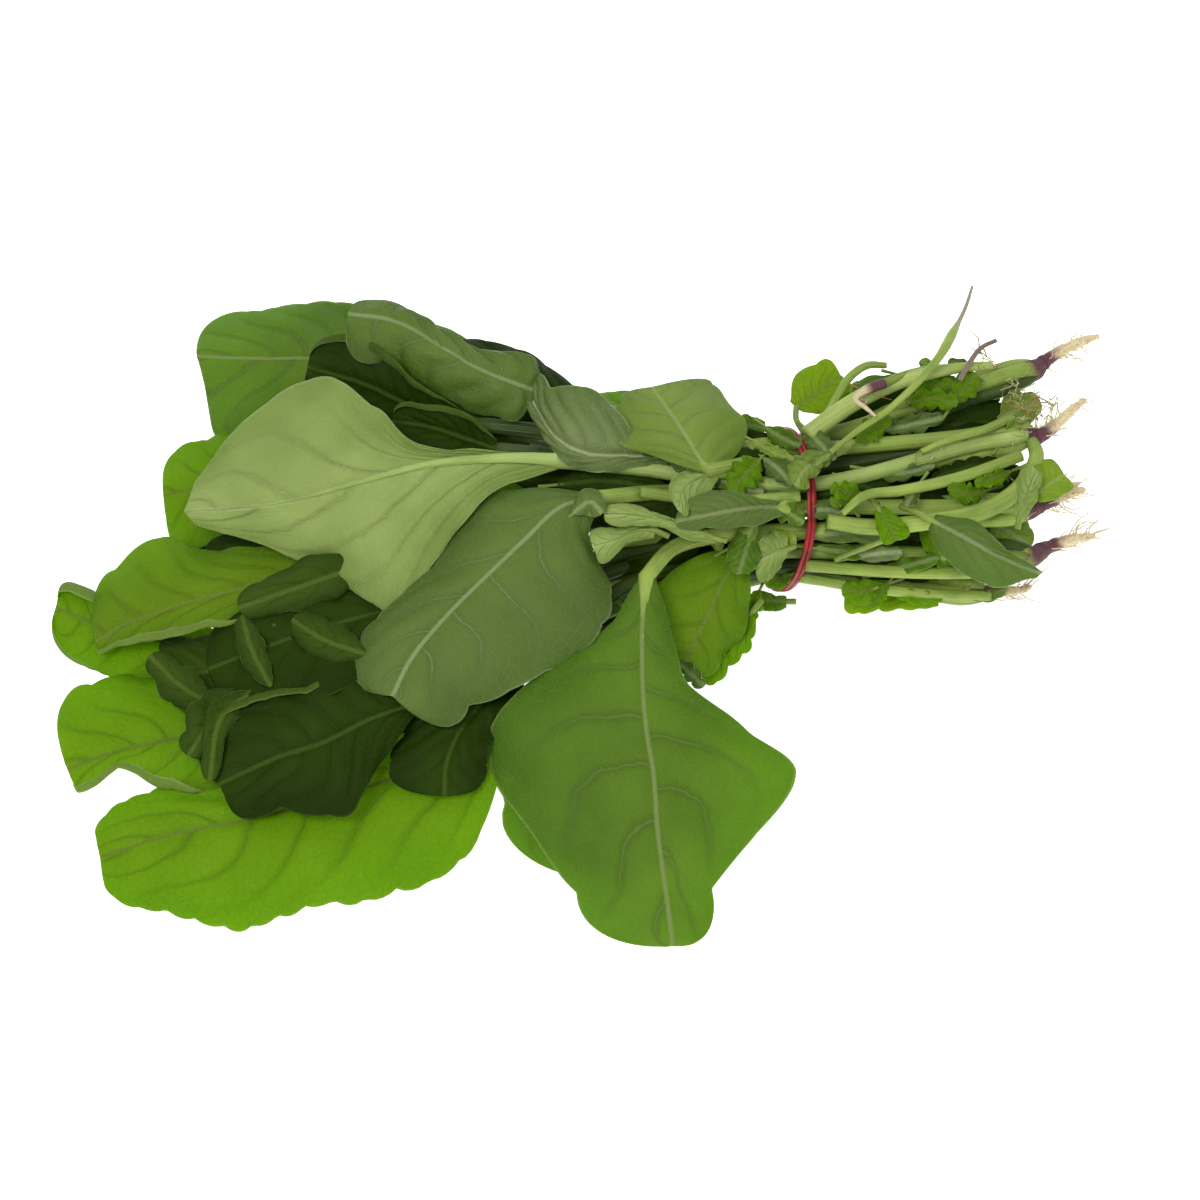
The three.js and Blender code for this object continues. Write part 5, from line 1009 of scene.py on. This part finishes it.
# Rows: shade, name, tones (light, deep, vein, glow), vein share, light let through, shine, and
# roughness where it isn't the usual one
# Painted light and shade: the darkest shades are shaded copies of the leaf green, and the brighter ones
# partly lighter copies for single leaves lit through from below.
BLADE_SHADES = [
    ("dark", "leaf_shaded", ((44, 66, 9), (25, 42, 4), (68, 90, 30), (90, 130, 10)), 0.25, 0.18, 0.05),
    # A shaded copy of the leaf green for leaves and flaps in the shadow of others: painted shade.
    ("inner", "leaf_inner", ((68, 94, 22), (38, 60, 10), (92, 116, 44), (120, 160, 18)), 0.2, 0.26, 0.07),
    ("deep", "leaf_deep", ((106, 132, 50), (72, 98, 28), (158, 178, 122), (150, 190, 30)), 0.35, 0.34, 0.18),
    ("mid", "leaf_mid", ((112, 150, 38), (66, 98, 14), VEIN, (186, 228, 20)), 0.34, 0.5, PLAIN_SHINE),
    ("bright", "leaf_bright", ((128, 168, 20), (92, 134, 8), (140, 166, 64), (194, 234, 12)), 0.22, 0.54,
     # A lighter copy of the leaf green for single leaves lit through from below: painted light.
     PLAIN_SHINE),
    ("fresh", "leaf_fresh", ((132, 168, 30), (98, 136, 16), (150, 174, 74), (194, 230, 26)), 0.22, 0.54,
     PLAIN_SHINE),
    ("glow", "leaf_glow", ((150, 180, 40), (124, 158, 24), (160, 184, 80), (214, 234, 60)), 0.22, 0.6,
     PLAIN_SHINE),
    ("olive", "leaf_olive", ((144, 168, 72), (104, 132, 38), VEIN, (160, 196, 40)), 0.25, 0.34, 0.15),
    ("grey", "leaf_grey", ((114, 136, 62), (82, 106, 40), (160, 176, 116), (150, 190, 50)), 0.35, 0.34, 0.18),
    ("silver", "leaf_silver", ((126, 144, 84), (82, 104, 42), (182, 196, 144), (150, 190, 60)), 0.5, 0.28,
     0.22, 0.45),
    ("pale_top", "leaf_pale", ((158, 184, 58), (126, 156, 38), (178, 198, 104), (190, 218, 40)), 0.3, 0.42,
     PLAIN_SHINE),
]
LEAF_TOPS, LEAF_UNDERS = {}, {}
for shade, name, tones, share, through, shine, *roughness in BLADE_SHADES:
    LEAF_TOPS[shade] = blade_material(name, tones, share, *roughness, see_through=through, shine=shine)
LEAF_UNDERS["pale"] = blade_material("under_pale",
                                     ((170, 192, 108), (120, 144, 62), (186, 202, 134), (175, 205, 70)),
                                     0.4, 0.55, see_through=0.28, shine=0.15, under=True)
# The undersides of leaves in the two darkest tones are darker too: painted shade.
for shade in LEAF_TOPS:
    if shade in ("dark", "inner"):
        tones = (100, 126, 46), (72, 98, 28), (124, 146, 68), (120, 160, 30)
    else:
        tones = (142, 166, 78), (116, 142, 54), (176, 194, 116), (165, 205, 40)
    LEAF_UNDERS[shade] = blade_material("under_" + shade, tones, 0.35, 0.55, see_through=0.4, under=True)
CREAM = (228, 214, 176), (200, 178, 134), (238, 228, 200)
STALK = stalk_material("stalk_green", (146, 168, 72), (102, 124, 42), (166, 184, 100), (3.5, 8))
DARK_STALK = stalk_material("stalk_shaded", (60, 82, 22), (40, 60, 12), (74, 94, 32))
LOOSE_STALK = stalk_material("stalk_loose", (152, 174, 76), (110, 134, 48), (172, 190, 106))
DRIED_STALK = stalk_material("stalk_dried", (146, 128, 112), (112, 92, 86), (176, 164, 140))
CUT_STALK = stalk_material("stalk_pale", (178, 194, 104), (146, 166, 78), (200, 212, 146))
TIP_STALK = stalk_material("seedling_stalk", (154, 176, 78), (120, 144, 54), (174, 192, 106), (57, 52),
                           colour(158, 152, 124))
ROOT = root_material("crown_and_root")
HAIR = stalk_material("root_hair", *CREAM)
SHRED = stalk_material("root_shred", (190, 162, 96), (140, 108, 60), (206, 190, 130))
PALE_RIB = stalk_material("pale_rib", (164, 186, 104), (138, 160, 78), (176, 194, 118), (3.5, 8))
NECK = stalk_material("seedling_root", *CREAM, (3.5, 6))
RED = band_material()


LEAF_PHASE = 1.7  # how far one leaf's waves are shifted from the last one's
RIB_END_RADIUS = 0.16
RIB_SINKS_BY = 0.08  # share of the rib where it has sunk in
RIB_SUNK = 0.75
RIB_PROUD = 0.08


def leaf_piece(leaf, order):
    """One leaf: the blade, and the stalk that goes on under it as the midrib."""
    name = leaf["name"]
    small = "crown" not in leaf
    facing = -1 if name in SHOWS_UNDER else 1
    blade = Blade(leaf, LEAF_PHASE * order)
    shape = Shape()
    columns, rings = TUCKED_GRID if small else BLADE_GRID
    t, points, normals = blade_shape(shape, blade, facing, columns, rings)
    full = TUCKED_STALK_RADIUS if small else STALK_RADIUS
    line = stalk_points(leaf, blade.rib[0])
    steps = max(6, int(path_length(line) / (TUCKED_STALK_STEP if small else STALK_STEP)))
    stalk = spline(line, np.linspace(0, 1, steps + 1))[:-1]
    middle, upper = points[:, columns], facing * normals[:, columns]
    rib_t = t[:-1:2]
    rib_radius = np.maximum(full * (1 - rib_t**0.5) + RIB_END_RADIUS * rib_t, THINNEST_RIB)
    sunk = np.clip(rib_t / RIB_SINKS_BY, 0, 1) * (RIB_SUNK * rib_radius - RIB_PROUD)
    centres = np.vstack([stalk, middle[:-1:2] - sunk[:, None] * upper[:-1:2]])
    distance = np.linalg.norm(np.diff(stalk, axis=0, prepend=stalk[:1]), axis=1).cumsum()
    widths = np.ones_like(distance) if small else np.interp(distance, *STALK_WIDENS)
    sides = TUCKED_STALK_SIDES if small else STALK_SIDES
    radii = np.concatenate([full * widths, rib_radius])
    vertices, groups = sweep(centres, radii, upper[-2], sides, groove=STALK_GROOVE)
    shape.add(vertices, groups, 2, (ROUND_MAP, path_length(centres)))
    top = blade.look["top"]
    stalk_look = DARK_STALK if top in ("dark", "inner") else LOOSE_STALK if small else STALK
    piece = shape.make("look_leaf_" + name, [LEAF_TOPS[top], LEAF_UNDERS["pale" if facing < 0 else top],
                                             PALE_RIB if facing < 0 and not small else stalk_look])
    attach(piece, "root")
    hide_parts("leaf_" + name)


# A crown and its root: places along it, its radius there and how deep it is fluted
CROWN_STATIONS = [0, 0.06, 0.15, 0.26, 0.4, 0.55, 0.75, 0.92, 1]
CROWN_RADII = np.array([2.6, 3.2, 3.2, 2.9, 2.3, 1.8, 1.5, 1.15, 0.7])
CROWN_FLUTES = ([0, 0.06, 0.25, 0.4, 1], [0.2, 0.2, 0.12, 0.04, 0.06])
LOW_CROWN_SCALE = 0.86
CROWN_SIDES = 24
CROWN_RINGS = 64
NECK_END = 0.4
KNOTS = ((0.06, 37, 1), (0.05, 61, 2))  # depth, rate along the root, share of the seed
ROOT_SWAY = np.array([0, 0.25, 0.5])
ROOT_SWAY_RATE = 14
HAIRS_PER_ROOT = 26
HAIR_SPAN = (0.5, 0.97)  # of the crown and root
HAIR_LENGTH = (2.5, 8)
HAIR_SPREAD = np.array([0.4, 1, 1])
HAIR_BENDS = ((0.35, 0.1, 0), (0.6, 0.5, 0.6), (0.7, 1, 1.2))  # outward, onward, stray
HAIR_RADIUS = (0.22, 0.07)
HAIR_UP = np.array([0.1, 0.2, 1.0])
HAIR_RINGS = 9
FINE_SIDES = 5
LOWEST_HAIR = 0.3


def crown_piece(name, seed):
    """The crown where the stalks meet, its neck and its taproot, with fine hairs."""
    rng = np.random.default_rng(seed)
    face, axis, seats = CROWN_FRAMES[name]
    line = np.vstack([face + 1.2 * axis, face - 4 * axis, seen(CROWNS[name][1:])])
    t = np.linspace(0, 1, CROWN_RINGS)
    centres = spline(line, t)
    scale = LOW_CROWN_SCALE if name in ("lowest", "under") else 1.0
    radii = np.interp(t, CROWN_STATIONS, CROWN_RADII * scale)
    knots = 1 + sum(depth * np.sin(rate * t + share * seed) for depth, rate, share in KNOTS)
    radii = radii * np.where(t > NECK_END, knots, 1)
    sway = np.sin(ROOT_SWAY_RATE * t + seed) * np.clip(t - NECK_END, 0, 1)
    centres = centres + sway[:, None] * ROOT_SWAY
    shape = Shape()
    vertices, groups = sweep(centres, radii, TABLE_UP, CROWN_SIDES)
    middle = np.repeat(centres, CROWN_SIDES, axis=0)
    angle = np.tile(TURN * np.arange(CROWN_SIDES) / CROWN_SIDES, len(t))
    flute = np.repeat(np.interp(t, *CROWN_FLUTES), CROWN_SIDES)
    depth = flute * (0.5 - 0.5 * np.cos(len(seats) * angle + seed))
    vertices[:-2] = middle + (vertices[:-2] - middle) * (1 - depth)[:, None]
    shape.add(vertices, groups, 0)
    away = unit(centres[-1] - centres[-6])
    for _ in range(HAIRS_PER_ROOT):
        start = spline(line, np.array([rng.uniform(*HAIR_SPAN)]))[0]
        out = unit(rng.normal(size=3) * HAIR_SPREAD)
        length = rng.uniform(*HAIR_LENGTH)
        path = [start]
        for outward, onward, stray in HAIR_BENDS:
            place = start + outward * length * out + onward * length * away
            path.append(place + rng.normal(size=3) * stray if stray else place)
        path = np.array(path)
        path[:, 2] = np.maximum(path[:, 2], LOWEST_HAIR)
        hair = spline(path, np.linspace(0, 1, HAIR_RINGS))
        vertices, groups = sweep(hair, np.linspace(*HAIR_RADIUS, HAIR_RINGS), HAIR_UP, FINE_SIDES)
        shape.add(vertices, groups, 1)
    piece = shape.make("look_crown_" + name, [ROOT, HAIR])
    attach(piece, "root")
    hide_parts("crown_" + name)


STRAND_SIDES = 16
LOOSE_STEM_SIDES = 14


def strand_piece(name, points, radii, material, slot_name):
    shape = Shape()
    shape.strand(seen(points), radii, STRAND_SIDES, 0)
    piece = shape.make("look_" + name, [material])
    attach(piece, "root")
    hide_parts(name)


BIT_LOOK = dict(veins=4, relief=0.25, wave=0.8, fold=(0.6, 0.6))
BIT_PHASE = 2.3
BIT_DROOP = {"roots": 0.25, "neck": 0.25, "left": 0.05}
BIT_RIB_RADIUS = (0.45, 0.12)
BIT_RIB_SUNK = 0.12
BIT_STALK_LENGTH = 5
BIT_STALK_RINGS = 5
BIT_RIB_SIDES = 6
BIT_MAP = (3, 20)


def bits_piece(title, bits):
    """Torn and lobed small leaves that lie among the stalks and between the blades. Many dark ones are
    painted shade: they fill gaps among the stalks or darken shaded parts of blades.
    """
    loose = title == "left"  # these have no stalks
    shades = sorted({bit[-1] for bit in bits})
    shape = Shape()
    for number, (*places, half, lobes, lobe_length, shade) in enumerate(bits):
        look = dict(BIT_LOOK, top=shade, notch=lobes, notch_length=lobe_length)
        if not loose:
            places = [on_bundle(*place) for place in places]
        leaf = dict(name="", bit=places, half=half, look=look, droop=BIT_DROOP[title])
        part = Shape()
        _, points, normals = blade_shape(part, Blade(leaf, BIT_PHASE * number), 1, *BIT_GRID)
        base = 2 * shades.index(shade)
        part.slots = [slots + base for slots in part.slots]
        shape.join(part)
        if loose:
            continue
        middle = points[:-1:3, BIT_GRID[0]] - BIT_RIB_SUNK * normals[:-1:3, BIT_GRID[0]]
        back = np.linspace(1, 0, BIT_STALK_RINGS + 1)[:-1, None] * BIT_STALK_LENGTH
        lead = middle[0] + back * unit(middle[0] - middle[2])
        radii = np.linspace(*BIT_RIB_RADIUS, len(middle) + len(lead))
        vertices, groups = sweep(np.vstack([lead, middle]), radii, TO_VIEWER, BIT_RIB_SIDES)
        shape.add(vertices, groups, 2 * len(shades), BIT_MAP)
    materials = [side[shade] for shade in shades for side in (LEAF_TOPS, LEAF_UNDERS)]
    piece = shape.make("look_bits_" + title, materials + [LOOSE_STALK])
    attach(piece, "root")


def stems_piece():
    shape = Shape()
    for places, radii, shade in LOOSE_STEMS:
        shape.strand(seen([on_bundle(*place) for place in places]), radii, LOOSE_STEM_SIDES, shade)
    piece = shape.make("look_loose_stems", [LOOSE_STALK, DRIED_STALK])
    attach(piece, "root")


ROOTLET_SEED = 5
ROOTLET_LIFT = 0.6
ROOTLET_STEP = (1.4, 1.2, 0.5)
ROOTLET_RADIUS = (0.1, 0.26)
ROOTLET_RINGS = 13
ROOTLET_MAP = (3, 10)


def rootlets_piece():
    """Loose root hairs and shreds among the crowns."""
    rng = np.random.default_rng(ROOTLET_SEED)
    shape = Shape()
    for across, up, lift, spread, count in ROOTLETS:
        for _ in range(count):
            start = np.array([across, up, lift]) + rng.normal(size=3) * (spread, spread, ROOTLET_LIFT)
            steps = np.cumsum(rng.normal(size=(3, 3)) * ROOTLET_STEP, axis=0)
            line = seen([on_bundle(*place) for place in np.vstack([start, start + steps])])
            thick = rng.uniform(*ROOTLET_RADIUS)
            centres = spline(line, np.linspace(0, 1, ROOTLET_RINGS))
            radii = np.linspace(thick, 0.5 * thick, ROOTLET_RINGS)
            vertices, groups = sweep(centres, radii, TO_VIEWER, FINE_SIDES)
            shape.add(vertices, groups, int(rng.integers(3)), ROOTLET_MAP)
    piece = shape.make("look_rootlets", [HAIR, CUT_STALK, SHRED])
    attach(piece, "root")


# The rubber band: its turns lie side by side and swap places where they cross
BAND_STEPS = 144
BAND_SIDES = 10
BAND_HALF_WIDTH = 0.66
BAND_HALF_HEIGHT = 0.6
TURN_OFFSET = 0.64
TURN_LIFT = 0.3
TURN_LEAN = 0.82 * BAND_LEAN
BAND_CORNERS = 0.6  # lower is squarer
LOWEST_BAND = 0.05
BAND_MIDDLE_OUT = 0.72  # from the stalks' circle to the band's middle line
CROSSING_AT = 2.2  # radians
CROSSING_WAVE = 0.55  # where the sine of the way round starts the crossing


def band_piece():
    """A rubber band wound twice round the stalks. Its turns cross twice on the far side."""
    around = np.linspace(0, TURN, BAND_STEPS + 1)[:-1]
    normal = unit(np.cross(VIEW_UP, BAND_NEAR))
    near = TO_VIEWER - TURN_LEAN * LEAFWARDS
    shape = Shape()
    angles = TURN * (np.arange(BAND_SIDES) + 0.5) / BAND_SIDES
    flat, high = (np.sign(wave) * np.abs(wave) ** BAND_CORNERS for wave in (np.cos(angles), np.sin(angles)))
    crossing = np.clip((np.sin(around - CROSSING_AT) - CROSSING_WAVE) / (1 - CROSSING_WAVE), 0, 1)
    for turn in (0, 1):
        twist = np.pi * turn + np.pi * crossing**2
        rings = []
        for theta, swing in zip(around, twist):
            radius = BAND_INNER_RADIUS + BAND_MIDDLE_OUT + TURN_LIFT * math.sin(swing)
            centre = BAND_MIDDLE + radius * (math.sin(theta) * VIEW_UP + math.cos(theta) * near)
            out = unit(math.sin(theta) * VIEW_UP + math.cos(theta) * TO_VIEWER)
            sideways = TURN_OFFSET * math.cos(swing) + BAND_HALF_WIDTH * flat
            rings.append(centre + sideways[:, None] * normal + BAND_HALF_HEIGHT * high[:, None] * out)
        vertices = np.concatenate(rings)
        vertices[:, 2] = np.maximum(vertices[:, 2], LOWEST_BAND)
        i, j = np.meshgrid(np.arange(BAND_STEPS), np.arange(BAND_SIDES), indexing="ij")
        i, j = i.ravel(), j.ravel()
        corners = ((0, 0), (0, 1), (1, 1), (1, 0))
        walls = np.stack([(i + a) % BAND_STEPS * BAND_SIDES + (j + b) % BAND_SIDES for a, b in corners], 1)
        places = np.stack([np.stack([j + b, i + a], 1) for a, b in corners], 1)
        shape.add(vertices, [(walls, places)], 0)
    piece = shape.make("look_rubber_band", [RED])
    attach(piece, "root")
    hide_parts("rubber_band")


def look_along(direction):
    """The rotation that points a camera's or a light's view along a direction, with +Z up."""
    x, y, z = unit(direction)
    return (math.acos(-z), 0, math.atan2(y, x) - math.pi / 2)


# Lights: name, place and size in metres, and power in watts. All shine on the bunch's middle
LIGHTS = [
    ("key", (-0.35, -0.5, 1.1), 0.5, 8),
    ("fill", (0.8, -0.6, 0.8), 0.8, 3),
    ("back", (0.1, 0.9, 0.9), 0.8, 4),
]
LIT_PLACE = np.array([0, 0, 0.02])
FLOOR_REACH = 3.0
FLOOR_HEIGHT = -0.0002  # just under the bunch's lowest points
FLOOR_GLOW = 0.9
WORLD_LIGHT = 0.4


def add_light(name, place, size, energy):
    data = bpy.data.lights.new(name, "AREA")
    data.shape = "DISK"
    data.size = size
    data.energy = energy
    light = bpy.data.objects.new(name, data)
    light.location = place
    light.rotation_euler = look_along(LIT_PLACE - np.array(place))
    bpy.context.scene.collection.objects.link(light)


def stage():
    mesh = bpy.data.meshes.new("floor")
    corners = [(FLOOR_REACH * x, FLOOR_REACH * y, 0) for x, y in ((-1, -1), (1, -1), (1, 1), (-1, 1))]
    mesh.from_pydata(corners, [], [(0, 1, 2, 3)])
    floor = bpy.data.objects.new("floor", mesh)
    floor.location.z = FLOOR_HEIGHT
    bpy.context.scene.collection.objects.link(floor)
    m = Material("pale_floor")
    skin = m.node("BsdfDiffuse", {"Color": (0.9, 0.9, 0.9, 1)}).outputs[0]
    glow = m.node("Emission", {"Color": (1, 1, 1, 1), "Strength": FLOOR_GLOW}).outputs[0]
    mesh.materials.append(m.finish(m.node("AddShader", [skin, glow]).outputs[0]))
    bpy.context.scene.view_settings.view_transform = "Standard"
    world = bpy.data.worlds.new("studio")
    world.use_nodes = True
    background = world.node_tree.nodes["Background"].inputs
    background["Color"].default_value = (1, 1, 1, 1)
    background["Strength"].default_value = WORLD_LIGHT
    bpy.context.scene.world = world
    for row in LIGHTS:
        add_light(*row)


def camera():
    data = bpy.data.cameras.new("camera")
    data.angle = 2 * math.atan(VIEW_WIDTH / 2 / VIEW_DISTANCE)
    data.clip_start = 0.01
    view = bpy.data.objects.new("camera", data)
    view.location = (-FRAME_MIDDLE + VIEW_DISTANCE * TO_VIEWER) * MM
    view.rotation_euler = look_along(-TO_VIEWER)
    bpy.context.scene.collection.objects.link(view)
    bpy.context.scene.camera = view


# Rows: name, places, radii spread evenly along them, material and slot
STRANDS = [
    ("stalk_cut_thick", [(54, 43, 41.2), (67, 52, 43.8), (80, 57.5, 45), (94, 60.4, 45), (102, 61, 44.6)],
     [2.4, 2.4, 1.9, 1.3, 1.1], CUT_STALK, "stalk"),
    ("seedling_stem", [(60, 38.5, 47), (67, 44, 46.6), (75, 49.5, 47.4), (83, 57, 49.6), (88, 63, 50.4),
                       (91.5, 69, 49.4), (95, 76, 45), (96.8, 81.5, 43)],
     [0.7, 0.75, 0.8, 0.85, 0.9, 0.95, 1.0, 1.05, 1.1, 1.3, 1.25, 0.6, 0.5, 0.45, 0.35], TIP_STALK, "stalk"),
    ("seedling_root", [(74, 56.4, 49.4), (71, 55.4, 49.6), (68, 54, 49.4), (66.4, 52.2, 49), (69.3, 49.8, 49),
                       (71.6, 47.8, 49.2)],
     [1.3, 1.4, 1.0, 0.7, 0.55, 0.35], NECK, "root"),
]
OWN_LINES = ("stalk", "rib", "left", "right")
SMALL_LEAVES = [dict(zip(("name", *OWN_LINES), row)) for row in TUCKED_LEAVES]
BUNCH_LEAVES = [dict(zip(("name", "crown", "slot", *OWN_LINES), row)) for row in LEAVES]
BUNCH_LEAVES += [dict(zip(("name", "crown", "slot", "base", "tip", "half", "droop"), row), stalk=())
                 for row in PLAIN_LEAVES]
CROWN_FRAMES = {name: crown_frame(name) for name in CROWNS}
camera()
stage()
for number, one in enumerate(SMALL_LEAVES + BUNCH_LEAVES):
    leaf_piece(one, number)
for number, crown in enumerate(CROWNS):
    crown_piece(crown, number + 1)
for strand in STRANDS:
    strand_piece(*strand)
band_piece()
for title, bits in (("roots", BITS_ROOTS), ("neck", BITS_NECK), ("left", BITS_LEFT)):
    bits_piece(title, bits)
stems_piece()
rootlets_piece()
